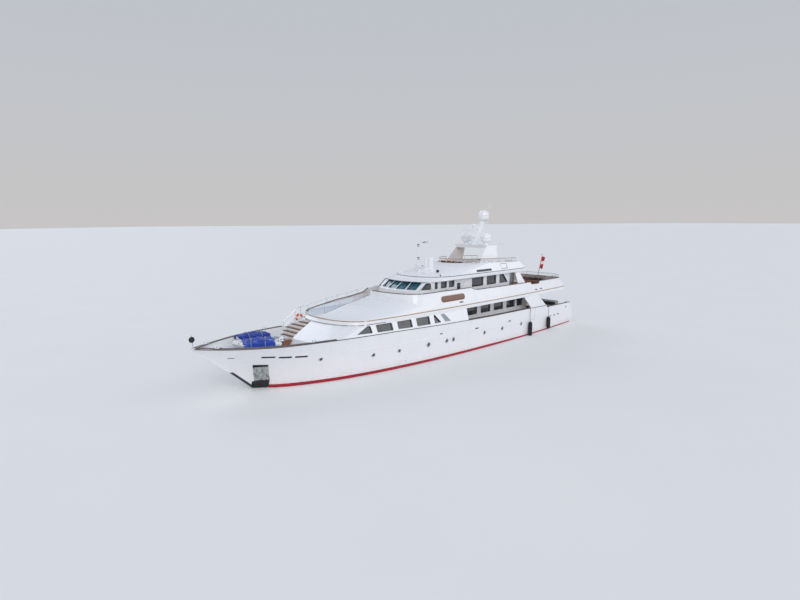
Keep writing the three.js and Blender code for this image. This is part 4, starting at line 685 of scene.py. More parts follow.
@functools.cache
def surface(*names):
    """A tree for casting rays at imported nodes, in full-size metres."""
    points, faces = [], []
    for name in names:
        mesh = nodes[name].data
        start = len(points)
        points += [v.co / SCALE for v in mesh.vertices]
        faces += [[start + i for i in polygon.vertices] for polygon in mesh.polygons]
    return BVHTree.FromPolygons(points, faces)


def cast(tree, origin, direction, lift=0.0):
    """Where a ray meets the surface, lifted off it, and the surface's direction out there."""
    direction = Vector(direction).normalized()
    point, normal, _, _ = tree.ray_cast(Vector(origin), direction)
    if point is None:
        return None, None
    if normal.dot(direction) > 0:
        normal = -normal
    return point + normal * lift, normal


def beside(tree, x, z, side, lift=0.0):
    """The point on a ship's side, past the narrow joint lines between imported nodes."""
    for nudge in (0.0, 0.003, -0.003, 0.01):
        point, out = cast(tree, (x, side * 8.0, z + nudge), (0, -side, 0), lift)
        if point is not None and point.y * side > 0:
            return point, out
    raise ValueError(f"no side at {x}, {z}")


def spread(first, last, step):
    """Even values from first to last, about a step apart."""
    count = max(2, round(abs(last - first) / step) + 1)
    return [first + (last - first) * i / (count - 1) for i in range(count)]


HALF_ROUND = [(-0.01, -1), (0.45, -0.9), (0.9, -0.4), (1, 0), (0.9, 0.4), (0.45, 0.9), (-0.01, 1)]


def round_angles(count):
    """Even steps round a circle, in radians."""
    return [2 * math.pi * k / count for k in range(count)]


def half_round(out, high):
    """A half-round moulding's profile."""
    return [(u * out, v * high) for u, v in HALF_ROUND]


hull_side = surface("hull", "main_deck", "bulwark")
bulwark_side = surface("bulwark")
whole_side = surface("hull", "main_deck", "bulwark", "fore_house", "main_house")


# Hull

BOW_SHEER = (20.5, 3.577, 0.066)  # a place near the bow, the edge's height there and its rise in a metre


def sheer_at(x):
    """The bulwark's outer top edge at port: how far out and how high."""
    guess = np.interp(x, [-22.5, -15.5, -15.4, -5, 2, 7, 14, 22.5],
                      [2.4, 2.45, 2.7, 2.9, 3.05, 3.2, 3.35, 3.6])
    edge, _ = beside(bulwark_side, x, guess - 0.12, 1)
    top, _ = cast(bulwark_side, (x, edge.y - 0.05, 6), -UP)
    start, height, rise = BOW_SHEER
    return edge.y, max(top.z, height + (x - start) * rise if x > start else 0.0)


def boot_stripe(name, side):
    """The antifouling's edge above the waterline."""
    stripe = Shape("red")
    rows = []
    for x in spread(17.08, -21.9, 0.1):
        top = np.interp(x, [-21.9, -12, -5, 17.05], [0.10, 0.14, 0.22, 0.26])
        rows.append([beside(hull_side, x, z, side, 0.012)[0] for z in (0.004, top * 0.5, top)]
                    + [beside(hull_side, x, top + 0.004, side, -0.002)[0]])
    stripe.skin(rows)
    stripe.piece(f"boot_stripe_{name}", slot="antifouling")


def sheer_line(name, side):
    """A dark moulding below the bulwark's edge, which along the houses' flush sides is a painted shadow line."""
    line = Shape("cap")
    xs = spread(22.3, -15.3, 0.4)
    edge = [sheer_at(x) for x in xs]
    path = []
    for x, (y, z) in zip(xs, edge):
        point, _ = beside(whole_side, x, z - 0.02, side)
        path.append(point if abs(point.y) > y - 0.06 else Vector((x, side * y, z - 0.02)))
    line.band(path, (0, side, 0), half_round(0.035, 0.028))
    line.piece(f"sheer_line_{name}")


def cap_rail(name, side):
    """The bulwark's cap, in three runs."""
    cap = Shape("cap")
    profile = [(-0.15, 0.0), (0.0, 0.0), (0.035, 0.012), (0.045, 0.03), (0.03, 0.048),
               (-0.15, 0.055), (-0.185, 0.04), (-0.19, 0.015)]
    for fore, aft in ((22.1, 13.0), (-1.9, -12.0), (-15.75, -21.1)):
        xs = spread(fore, aft, 0.35)
        points = [(x, *sheer_at(x)) for x in xs]
        cap.band([(x, side * y, z) for x, y, z in points], (0, side, 0), profile)
    cap.piece(f"cap_rail_{name}")


def knuckle_line(name, side):
    """A half-round strake along the topsides."""
    strake = Shape("white")
    xs = spread(12.0, -20.5, 0.5)
    path = []
    for x in xs:
        z = np.interp(x, [-20.5, -11, -2, 5.3, 12.0], [1.25, 1.57, 1.9, 2.06, 2.2])
        path.append(beside(hull_side, x, z, side)[0])
    strake.band(path, (0, side, 0), half_round(0.022, 0.035))
    strake.piece(f"knuckle_{name}", slot="white_paint")


def stem_band():
    """A guard on the stem, on both of its sides."""
    stem = Shape("dark_line")
    rows = []
    for z in spread(0.02, 1.52, 0.1):
        tip, _ = cast(hull_side, (26, 0.004, z), (-1, 0, 0), 0.012)
        wing = [beside(hull_side, tip.x - back, z, 1, 0.014)[0] for back in (0.016, 0.03, 0.06, 0.13, 0.24)]
        wing.insert(0, Vector((tip.x + 0.004, 0.02, z)))
        rows.append([Vector((p.x, -p.y, p.z)) for p in reversed(wing)] + [Vector((tip.x + 0.008, 0, z))] + wing)
    stem.skin(rows)
    stem.piece("stem_band", slot="black_rubber")


def build_bands():
    """The lines along the hull: stripe, sheer line, cap rail, knuckle and stem band."""
    for name, side in SIDES.items():
        boot_stripe(name, side)
        sheer_line(name, side)
        cap_rail(name, side)
        knuckle_line(name, side)
    stem_band()


PORTHOLES = [
    # place along the yacht, height, radius
    (13.99, 2.01, 0.15), (9.41, 1.63, 0.16), (6.80, 1.56, 0.15), (3.50, 1.56, 0.2), (1.22, 1.54, 0.18),
    (0.34, 1.53, 0.18), (-4.13, 1.49, 0.18), (-7.00, 1.48, 0.18), (-10.41, 1.47, 0.17),
]


def build_portholes():
    """Bolted rings with glass in them."""
    for name, side in SIDES.items():
        holes = Shape("steel")
        for x, z, radius in PORTHOLES:
            centre, out = beside(hull_side, x, z, side)
            pane = radius * 0.74
            holes.turned([(radius + 0.035, -0.02), (radius + 0.04, 0.012), (radius + 0.03, 0.026),
                          (radius - 0.01, 0.03), (pane + 0.006, 0.02), (pane, 0.006)], centre, out, 28)
            disc = [(pane + 0.002, -0.01), (pane + 0.002, 0.008), (pane - 0.02, 0.012)]
            holes.turned(disc, centre, out, 28, "glass")
            for a in round_angles(8):
                spin = Matrix.Rotation(a, 3, out)
                reach = spin @ out.orthogonal().normalized() * (radius + 0.02)
                holes.turned([(0.009, 0.02), (0.009, 0.033), (0.004, 0.037)], centre + reach, out, 6)
        holes.piece(f"portholes_{name}", slot="stainless")


def rounded_outline(width, height, corner, count=5):
    """A rectangle with round corners, as (u, v) pairs."""
    made = []
    for cx, cy, first in ((1, 1, 0), (-1, 1, 90), (-1, -1, 180), (1, -1, 270)):
        for k in range(count):
            a = math.radians(first + 90 * k / (count - 1))
            made.append((cx * (width / 2 - corner) + corner * math.cos(a),
                         cy * (height / 2 - corner) + corner * math.sin(a)))
    return made


def slot_fitting(shape, tree, x, z, side, width, height, rim, inside, corner=None, tip=0.0):
    """A rimmed slot laid on a ship's side. tip turns it in the side's plane, in degrees."""
    spin = math.radians(tip)
    outline = [(u * math.cos(spin) - v * math.sin(spin), u * math.sin(spin) + v * math.cos(spin))
               for u, v in rounded_outline(width, height, corner or height * 0.45)]
    rings = ((0.03, -0.01), (0.028, 0.018), (0.012, 0.026), (0.0, 0.02), (-0.004, 0.011))
    plate(shape, tree, x, z, side, outline, rings, (rim, rim, rim, rim, inside), 0.1)


SEAM_PROFILE = [(-0.003, -0.007), (0.003, -0.006), (0.003, 0.006), (-0.003, 0.007)]


def bow_slots(name, side):
    """Slots through the bulwark near the bow."""
    slots = Shape("white")
    for fore, aft, z in ((18.24, 17.32, 2.67), (17.10, 16.21, 2.54), (16.02, 15.06, 2.45)):
        middle = (fore + aft) / 2
        slot_fitting(slots, hull_side, middle, z, side, fore - aft, 0.15, "white", "black", tip=4.5)
    slot_fitting(slots, hull_side, 20.0, 2.78, side, 0.42, 0.1, "white", "grey", tip=4)
    slots.piece(f"bow_slots_{name}", slot="white_paint")


def freeing_ports(name, side):
    """Freeing ports and outlets in the hull's side."""
    freeing = Shape("steel")
    for x, z, width, height in (
        (-2.95, 2.08, 0.46, 0.1), (-8.24, 2.05, 0.42, 0.1), (-16.6, 1.42, 0.4, 0.09),
        (-17.5, 1.42, 0.4, 0.09), (-18.4, 1.42, 0.4, 0.09), (2.0, 2.3, 0.3, 0.08),
    ):
        slot_fitting(freeing, hull_side, x, z, side, width, height, "steel", "black")
    centre, out = beside(hull_side, -20.25, 2.02, side)
    ring = [(0.13, -0.01), (0.13, 0.02), (0.1, 0.03), (0.08, 0.02), (0.075, 0.004)]
    freeing.turned(ring, centre, out, 20)
    freeing.turned([(0.076, -0.01), (0.076, 0.006)], centre, out, 20, "black")
    for x in (6.0, -6.2, -9.5):
        centre, out = beside(hull_side, x, 0.55, side)
        freeing.turned([(0.05, -0.01), (0.05, 0.016), (0.035, 0.02), (0.03, 0.004)], centre, out, 16)
    freeing.piece(f"freeing_ports_{name}", slot="stainless")


def gate_seam(name, side):
    """The seam of the boarding gate."""
    seam = Shape("dark_line")
    for x in (-11.95, -13.0):
        path = [beside(hull_side, x, z, side)[0] for z in spread(1.6, 2.84, 0.12)]
        seam.band(path, (0, side, 0), SEAM_PROFILE)
    path = [beside(hull_side, x, 1.6, side)[0] for x in spread(-11.95, -13.0, 0.15)]
    seam.band(path, (0, side, 0), SEAM_PROFILE)
    seam.piece(f"gate_seam_{name}", slot="black_rubber")


def build_side_openings():
    """Slots in the bulwark, freeing ports, outlets and the gate's seam."""
    for name, side in SIDES.items():
        bow_slots(name, side)
        freeing_ports(name, side)
        gate_seam(name, side)


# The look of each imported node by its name, and of the others by the first word that fits.
NODE_LOOKS = {
    "hull": "hull", "main_deck": "hull", "swim_platform": "platform", "fore_house": "walk",
    "main_house": "room", "upper_deck": "upper", "coach_roof": "coach", "sundeck": "roof",
    "wheelhouse_glass": "bridge_glass", "jackstaff": "jackstaff", "anchor": "steel", "stern_rail": "steel",
    "aft_stair": "teak",
    **dict.fromkeys(("bulwark", "transom_door", "upper_bulwark", "upper_house", "radar_arch", "fin_mast",
                     "top_dome", "port_dome", "starboard_dome", "radar_scanner", "signal_mast"), "white"),
    **dict.fromkeys(("flagstaff", "boat_chocks", "aft_table", "upper_table"), "varnish"),
    **dict.fromkeys(("anchor_plate_port", "anchor_plate_starboard"), "anchor"),
}
WORD_LOOKS = (
    ("glass", "glass"), ("saloon_door", "saloon_door"), ("lounge_door", "lounge_door"),
    ("wing_door", "wing_door"), ("wing", "white"), ("engine", "engine"), ("windlass", "steel"),
    ("shaft", "bronze"), ("propeller", "bronze"), ("rudder", "hull"), ("fender", "rubber"),
    ("boat", "blue"), ("settee", "cream"), ("ensign", "flag"),
)


def dress_nodes():
    """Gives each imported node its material, and smooth shading to all but glass."""
    smooth = soft_shading()
    for name, node in nodes.items():
        look = NODE_LOOKS.get(name) or next(made for word, made in WORD_LOOKS if word in name)
        for slot in node.material_slots:
            slot.material = MATERIALS[look]
        if "glass" not in name:
            modifier = node.modifiers.new("soft_shading", "NODES")
            modifier.node_group = smooth


def soft_shading():
    """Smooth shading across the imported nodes' shallow edges. Their points stay where they are."""
    group = bpy.data.node_groups.new("soft_shading", "GeometryNodeTree")
    group.interface.new_socket("Geometry", in_out="INPUT", socket_type="NodeSocketGeometry")
    group.interface.new_socket("Geometry", in_out="OUTPUT", socket_type="NodeSocketGeometry")
    start = Wire(group)
    given = start.node("NodeGroupInput")
    plain = start.node("GeometryNodeRemoveAttribute", inputs={"Geometry": given, "Name": "custom_normal"})
    joined = start.node("GeometryNodeMergeByDistance", inputs={"Geometry": plain, "Distance": 0.00002})
    angle = start.node("GeometryNodeInputMeshEdgeAngle")
    crease = angle > math.radians(24)
    smooth = start.node("GeometryNodeSetShadeSmooth", inputs={"Geometry": joined, "Shade Smooth": True})
    edged = start.node("GeometryNodeSetShadeSmooth", {"domain": "EDGE"},
                       {"Geometry": smooth, "Selection": crease, "Shade Smooth": False})
    end = group.nodes.new("NodeGroupOutput")
    group.links.new(edged.socket, end.inputs[0])
    return group


# Paths and outlines

def flowing(points, step=0.08):
    """A smooth path through a few points."""
    points = [Vector(p) for p in points]
    made = []
    for i in range(len(points) - 1):
        a, b = points[max(i - 1, 0)], points[i]
        c, d = points[i + 1], points[min(i + 2, len(points) - 1)]
        count = max(2, round((c - b).length / step))
        for k in range(count):
            t = k / count
            made.append(b + (c - a) * (t / 2) + (a * 2 - b * 5 + c * 4 - d) * (t * t / 2)
                        + (b * 3 - a - c * 3 + d) * (t ** 3 / 2))
    return made + [points[-1]]


def divided(outline, step=0.3):
    """A closed outline with extra points along its long edges."""
    made = []
    for i, point in enumerate(outline):
        after = outline[(i + 1) % len(outline)]
        count = max(1, round((after - point).length / step))
        made += [point + (after - point) * (k / count) for k in range(count)]
    return made


def grown(outline, by):
    """A closed outline with every edge moved out by a distance."""
    count = len(outline)
    area = sum(p.x * q.y - p.y * q.x for p, q in zip(outline, outline[1:] + outline[:1]))
    turn = 1 if area > 0 else -1
    made = []
    for i, point in enumerate(outline):
        before = (point - outline[i - 1]).normalized()
        after = (outline[(i + 1) % count] - point).normalized()
        first, last = Vector((before.y, -before.x)) * turn, Vector((after.y, -after.x)) * turn
        middle = (first + last).normalized()
        made.append(point + middle * (by / max(middle.dot(last), 0.3)))
    return made


def softened(outline, reach=0.035, count=4):
    """A closed outline with round corners. reach is how much of a corner is filled."""
    made = []
    for i, corner in enumerate(outline):
        back = (outline[i - 1] - corner).normalized()
        on = (outline[(i + 1) % len(outline)] - corner).normalized()
        half = math.acos(max(-1.0, min(1.0, back.dot(on)))) / 2
        radius = min(0.12, reach / (1 / math.sin(half) - 1))
        cut = radius / math.tan(half)
        start, end = corner + back * cut, corner + on * cut
        centre = corner + (back + on).normalized() * (radius / math.sin(half))
        for k in range(count + 1):
            way = (start - centre) * (1 - k / count) + (end - centre) * (k / count)
            made.append(centre + way.normalized() * radius)
    return made


def rays_round(fore, aft, reach, step=0.35):
    """Rays aimed in at an edge from all round: from the stern's middle by port to the bow, and back."""
    arc = [math.radians(a) for a in range(3, 90, 6)]
    rays = [((aft + reach, 0.0), (-math.cos(a), math.sin(a))) for a in arc]
    rays += [((x, 0.0), (0.0, 1.0)) for x in spread(aft + reach, fore - reach, step)]
    rays += [((fore - reach, 0.0), (math.sin(a), math.cos(a))) for a in arc]
    return rays + [(middle, (dx, -dy)) for middle, (dx, dy) in reversed(rays)]


def round_stern(rays, fore):
    """The rays aft of a place along the yacht, from starboard round the stern to port."""
    half = len(rays) // 2
    return [ray for ray in rays[half:] + rays[:half] if ray[0][0] <= fore]


FAR, NEAR = 12.0, 0.6  # how far from a ray's end it starts, and how near an edge may be to that end


def aimed(tree, ray, z):
    """Where a ray meets an edge at one level, past the narrow joint lines."""
    (x, y), (dx, dy) = ray
    for nudge in (0.0, 0.006, -0.006, 0.02):
        start = (x + dx * FAR - dy * nudge, y + dy * FAR + dx * nudge, z)
        point, out = cast(tree, start, (-dx, -dy, 0))
        if point is not None and (point.x - x) * dx + (point.y - y) * dy > NEAR:
            return point, out
    return None, None


def girdle(tree, rays, z):
    """A path round a node at one level, and the level way out at each of its points."""
    found = [aimed(tree, ray, z) for ray in rays]
    kept = [(point, Vector((out.x, out.y, 0)).normalized()) for point, out in found if point is not None]
    return [point for point, _ in kept], [out for _, out in kept]


CAP_LIFT = 0.012  # how far a cap lies above the highest level that a ray found


def rim(tree, rays, low, high):
    """The top edge of a wall, climbed from a low level on every ray, up to the first long gap."""
    path, outs = [], []
    for ray in rays:
        point, out = None, None
        for z in spread(low, high, 0.02):
            found, way = aimed(tree, ray, z)
            if found is None or (point is not None and (found - point).to_2d().length > 0.08):
                break
            point, out = found, way
        if point is not None and (not path or (point - path[-1]).length < 0.75):
            path.append(point + UP * CAP_LIFT)
            outs.append(Vector((out.x, out.y, 0)).normalized())
    return path, outs


# Upper decks' lines

CAP_PROFILE = [(-0.15, 0.0), (0.0, 0.0), (0.025, 0.008), (0.032, 0.022), (0.02, 0.036), (-0.15, 0.04),
               (-0.17, 0.02)]
WALKWAY_RIM = [  # place along the yacht, height
    (2.4, 5.88), (3.25, 5.76), (3.85, 5.4), (5.45, 5.16), (7.2, 5.0), (9.06, 4.72), (10.2, 4.56), (10.86, 4.5)]


def walkway_rim(x):
    """The outer wall's top beside the starboard walkway."""
    z = np.interp(x, *zip(*WALKWAY_RIM))
    point, _ = cast(surface("coach_roof"), (x, -8, z - 0.05), (0, 1, 0))
    return Vector((x, point.y, z))


DECK_RAYS = rays_round(11.9, -21.4, 3.0)


def build_gold_stripe():
    """The gilt line round the upper deck's edge."""
    gold = Shape("gold")
    path, outs = girdle(surface("upper_deck"), DECK_RAYS, 4.42)
    gold.band(path, outs, half_round(0.032, 0.03), ring=True)
    gold.piece("gold_stripe")


def build_deck_edge_shadow():
    """A dark line of painted shadow under the upper deck's fore edge."""
    under = Shape("dark_line")
    path, outs = girdle(surface("upper_deck"), [ray for ray in DECK_RAYS if ray[0][0] > 8.0], 4.13)
    under.band(path, outs, half_round(0.018, 0.022))
    under.piece("deck_edge_shadow")


def build_roof_stripe():
    """A line round the sundeck's edge."""
    stripe = Shape("cap")
    roof_rays = rays_round(1.7, -13.2, 2.4, 0.3)
    path, outs = girdle(surface("sundeck"), roof_rays, 7.02)
    kept = [(p, o) for p, o in zip(path, outs) if p.x > -12.95]
    stripe.band([p for p, _ in kept], [o for _, o in kept], half_round(0.026, 0.03))
    stripe.piece("roof_stripe")


def build_upper_cap_rail():
    """The cap on the upper deck's bulwark and on the walkway's wall."""
    cap = Shape("cap")
    walls = surface("upper_bulwark", "coach_roof")
    rays = rays_round(5.2, -20.6, 3.0, 0.2)
    front = [ray for ray in rays if ray[0][0] > -2.5]
    cap.band(*rim(walls, front, 5.7, 6.0), CAP_PROFILE)
    cap.band(*rim(walls, round_stern(rays, -2.5), 5.15, 6.0), CAP_PROFILE)
    path = [walkway_rim(x) + UP * CAP_LIFT for x in spread(3.3, 10.8, 0.3)]
    cap.band(path, (0, -1, 0), CAP_PROFILE)
    cap.piece("upper_cap_rail")


def build_coach_edge_line():
    """A line along the coach roof's edge beside the walkway."""
    edge = Shape("cap")
    coach = surface("coach_roof")
    path = []
    for x in spread(10.6, 5.35, 0.3):
        y = np.interp(x, [5.0, 10.5], [-1.4, -0.95])
        hits = (cast(coach, (x, y + inside, 8), -UP)[0] for inside in (0.03, 0.05, 0.08, 0.12))
        top = next(hit for hit in hits if hit is not None)
        path.append((x, y + 0.01, top.z - 0.012))
    edge.band(path, (0, -1, 0), half_round(0.02, 0.03))
    edge.piece("coach_edge_line")


# Windows

FORE_WINDOWS = [
    [(11.20, 3.54), (10.02, 4.02), (9.72, 4.02), (9.72, 3.48)],
    [(9.22, 3.46), (9.22, 4.02), (7.60, 4.02), (7.60, 3.42)],
    [(7.05, 3.42), (7.05, 4.02), (5.46, 4.02), (5.46, 3.37)],
    [(4.93, 3.37), (4.93, 4.02), (3.34, 4.02), (3.34, 3.32)],
    [(2.80, 3.32), (2.80, 4.02), (2.62, 4.02), (1.98, 3.32)],
]
SALOON_WINDOWS = [[(fore, 3.05), (fore, 3.95), (aft, 3.95), (aft, 3.05)] for fore, aft in (
    (-2.85, -4.70), (-5.30, -6.82), (-7.42, -8.95), (-9.55, -11.02), (-11.38, -12.35))]
UPPER_WINDOWS = [
    [(2.98, 6.02), (2.18, 6.60), (1.66, 6.60), (1.66, 6.02)],
    [(1.20, 6.00), (1.20, 6.60), (0.82, 6.60), (0.82, 6.00)],
    [(0.38, 6.00), (0.38, 6.60), (-0.42, 6.60), (-0.42, 6.00)],
    [(-0.72, 6.00), (-0.72, 6.60), (-1.48, 6.60), (-1.48, 6.00)],
    [(-4.06, 5.72), (-4.06, 6.60), (-5.84, 6.60), (-5.84, 5.72)],
    [(-6.37, 5.72), (-6.37, 6.60), (-7.92, 6.60), (-7.92, 5.72)],
    [(-8.48, 5.72), (-8.48, 6.60), (-9.16, 6.60), (-9.92, 5.72)],
]
WHEELHOUSE_PANES = [
    [(0.05, 6.0), (1.10, 6.0), (1.02, 6.60), (0.05, 6.60)],
    [(1.20, 6.0), (2.18, 6.0), (2.14, 6.60), (1.12, 6.60)],
]
RIM_RINGS = (  # how far out of the opening, how far off the wall: three for the seal, the rest for the frame
    (-0.014, -0.06), (-0.014, 0.006), (-0.002, 0.012), (0.004, 0.016), (0.034, 0.018), (0.044, 0.012),
    (0.047, -0.006))


def window_rim(shape, place, outline):
    """A seal and a moulded frame round an opening, on the wall that place(u, v) finds."""
    outline = [Vector(p) for p in outline]
    found = [(uv, *place(*uv)) for uv in divided(grown(outline, 0.055))]
    found = [row for row in found if row[1] is not None]
    columns = np.array([[1, u, v, u * u] for (u, v), _, _ in found])
    weights = np.linalg.lstsq(columns, np.array([list(point) for _, point, _ in found]), rcond=None)[0]
    out = sum((way for _, _, way in found), Vector()).normalized()
    base = divided(softened(outline))
    rows = [[Vector(np.array([1, u, v, u * u]) @ weights) + out * lift for u, v in grown(base, by)]
            for by, lift in RIM_RINGS]
    shape.skin(rows[:3], closed=True, material="black")
    shape.skin(rows[2:], closed=True, material="white")


def build_window_rims():
    """A frame round every window in the houses' sides."""
    for name, side in SIDES.items():
        for title, node, outlines, least in (
            ("fore", "fore_house", FORE_WINDOWS, 2.4), ("saloon", "main_house", SALOON_WINDOWS, 2.9),
            ("upper", "upper_house", UPPER_WINDOWS, 2.3),
        ):
            tree = surface(node)
            def place(x, z):
                point, out = cast(tree, (x, side * 8, z), (0, -side, 0))
                return (point, out) if point is not None and point.y * side > least else (None, None)
            rims = Shape("white")
            for outline in outlines:
                window_rim(rims, place, outline)
            rims.piece(f"{title}_window_rims_{name}", slot="white_paint")


def build_wheelhouse_front():
    """Frames round the wheelhouse's panes, and their wipers."""
    front = surface("upper_house")
    panes = Shape("white")
    wipers = Shape("steel")
    for side in SIDES.values():
        for outline in WHEELHOUSE_PANES:
            window_rim(panes, lambda y, z: cast(front, (9, y, z), (-1, 0, 0)), [(side * y, z) for y, z in outline])
    for y in (-1.65, -0.55, 0.55, 1.65):
        foot, out = cast(front, (9, y, 5.93), (-1, 0, 0), 0.02)
        tip, _ = cast(front, (9, y + 0.3, 6.48), (-1, 0, 0))
        if tip is not None and tip.x >= foot.x - 0.9:
            wipers.turned([(0.04, -0.02), (0.045, 0.01), (0.03, 0.03), (0.01, 0.035)], foot, out, 12)
        low_x = np.interp(abs(y), [0, 1.15, 2.28], [3.50, 3.36, 3.02])
        high_x = np.interp(abs(y + 0.28), [0, 1.1, 2.25], [2.46, 2.35, 2.1])
        low = Vector((low_x + 0.02, y, 5.95))
        high = Vector((high_x + 0.045, y + 0.28, 6.5))
        wipers.tube([low, low.lerp(high, 0.7) + Vector((0.03, 0, 0.02))], 0.008, 6)
        wipers.tube([low.lerp(high, t) + Vector((0.012, 0, 0)) for t in (0.35, 1.0)], 0.011, 6, "black")
    panes.piece("wheelhouse_window_rims", slot="white_paint")
    wipers.piece("wipers", slot="stainless")


def plate(shape, tree, x, z, side, outline, rings, material, step=0.2):
    """A plate with stepped edges on a ship's side. The last material covers its face."""
    base = divided([Vector(p) for p in outline], step)
    plans = [(grown(base, by), lift) for by, lift in rings]
    inner, lift = plans[-1]
    middle = Vector((sum(u for u, v in inner), sum(v for u, v in inner))) / len(inner)
    plans += [([middle + (Vector(uv) - middle) * share for uv in inner], lift)
              for share in (0.75, 0.5, 0.25, 0.04)]
    rows = [[beside(tree, x + u, z + v, side, lift)[0] for u, v in plan] for plan, lift in plans]
    for row, after, look in zip(rows, rows[1:], material + material[-1:] * 5):
        shape.skin([row, after], closed=True, material=look)
    shape.add(rows[-1], [tuple(range(len(rows[-1])))], material[-1])


def name_board(name, side):
    """A varnished board with a gilt edge."""
    board = Shape("varnish")
    rings = ((0.0, -0.01), (0.0, 0.02), (-0.012, 0.032), (-0.03, 0.034), (-0.034, 0.03), (-0.1, 0.036))
    looks = ("gold", "gold", "gold", "board", "board", "board")
    plate(board, surface("upper_bulwark"), 0.0, 5.22, side, rounded_outline(3.2, 0.54, 0.262, 9), rings, looks)
    board.piece(f"name_board_{name}", slot="teak")


def upper_scuppers(name, side):
    """Scuppers in the upper deck's bulwark."""
    walls = surface("upper_bulwark")
    scuppers = Shape("steel")
    slot_fitting(scuppers, walls, -1.0, 4.74, side, 0.5, 0.08, "steel", "black")
    for x in (-13.65, -14.7):
        slot_fitting(scuppers, walls, x, 4.66, side, 0.42, 0.08, "steel", "black")
    scuppers.piece(f"upper_scuppers_{name}", slot="stainless")


def side_panel(name, side):
    """A panel with a curved edge ahead of the wing door, and a slanted fin below whose sunken face is grey as
    painted shade.
    """
    panel = Shape("white")
    arch = [(0.58, -0.42), (0.5, -0.1), (0.3, 0.2), (-0.05, 0.42), (-0.58, 0.42), (-0.58, -0.42)]
    plate(panel, surface("upper_house"), -3.24, 6.14, side, arch,
          ((0.0, -0.01), (0.0, 0.014), (-0.02, 0.02), (-0.03, 0.016)), ("white", "grey", "white", "white"))
    # painted shade: the fin's inner slope and sunken face are grey for the shade in its recess
    fin = [(0.62, 0.4), (0.04, 0.4), (-0.76, -0.4), (0.12, -0.37)]
    plate(panel, surface("fore_house"), 1.4, 3.64, side, fin,
          ((0.0, -0.01), (0.0, 0.03), (-0.05, 0.032), (-0.062, 0.012)), ("white", "white", "grey", "tube_grey"))
    panel.piece(f"side_panel_{name}", slot="white_paint")


def roof_vent(name, side):
    """A louvred vent and a square plate on the roof's side."""
    roof = surface("sundeck")
    vent = Shape("white")
    plate(vent, roof, -5.55, 7.24, side, rounded_outline(2.3, 0.2, 0.07),
          ((0.03, -0.01), (0.028, 0.026), (0.0, 0.03), (-0.01, 0.014)),
          ("white", "white", "black", "black"), 0.12)
    for x in spread(-4.55, -6.55, 0.11):
        path = [beside(roof, x + (z - 7.16) * 0.25, z, side, 0.02)[0] for z in (7.16, 7.24, 7.32)]
        vent.tube(path, 0.014, 5, "grey")
    plate(vent, roof, -8.8, 7.45, side, rounded_outline(1.1, 0.5, 0.06),
          ((0.03, -0.01), (0.028, 0.03), (0.0, 0.036), (-0.012, 0.02), (-0.05, 0.02)),
          ("white", "white", "grey", "grey", "white"), 0.12)
    vent.piece(f"roof_vent_{name}", slot="white_paint")


def side_screen(name, side):
    """A slatted glass screen beside the lounge."""
    screen = Shape("grey")
    y = side * 2.86
    screen.block((-11.02, y - 0.018, 5.5), (-10.26, y + 0.018, 6.69), 0.006, "glass")
    for x in (-11.03, -10.25):
        screen.box(x, y, 0.025, 0.03, 5.47, 6.695, 0.008, "steel")
    for z in (5.49, 6.67):
        screen.block((-11.03, y - 0.03, z - 0.025), (-10.25, y + 0.03, z + 0.025), 0.008, "steel")
    slat = y + side * 0.02
    for z in spread(5.62, 6.56, 0.085):
        screen.block((-11.0, slat - 0.006, z - 0.03), (-10.28, slat + 0.006, z + 0.03), 0.003, "grey")
    screen.piece(f"side_screen_{name}", slot="dark_glass")


def build_side_plates():
    """Name boards, scuppers, panels, vents and side screens."""
    for name, side in SIDES.items():
        name_board(name, side)
        upper_scuppers(name, side)
        side_panel(name, side)
        roof_vent(name, side)
        side_screen(name, side)


# Masts, domes and lamps

def build_mast_lamps():
    """Two lamps on the mast, and the horns."""
    lamps = Shape("black")
    for z in (8.5, 9.7):
        foot = (0.34, 0, z)
        lamps.turned([(0.06, -0.02), (0.108, -0.01), (0.112, 0.03), (0.1, 0.035)], foot, sides=16)
        lamps.turned([(0.104, 0.034), (0.107, 0.08), (0.104, 0.126)], foot, sides=16, material="lens")
        lamps.turned([(0.1, 0.12), (0.113, 0.126), (0.112, 0.17), (0.07, 0.19), (0.02, 0.195)], foot, sides=16)
    for y in (-0.16, 0.02, 0.2):
        mouth = [(0.072, -0.02), (0.094, 0.0), (0.1, 0.012), (0.09, 0.016), (0.05, -0.04)]
        lamps.turned(mouth, (0.57, y, 7.86), (1, 0, 0), 18, "steel")
        lamps.turned([(0.045, 0.0), (0.055, 0.03), (0.05, 0.1), (0.03, 0.12)], (0.12, y, 7.86), (-1, 0, 0), 14)
    lamps.piece("mast_lamps_and_horns", slot="black_rubber")


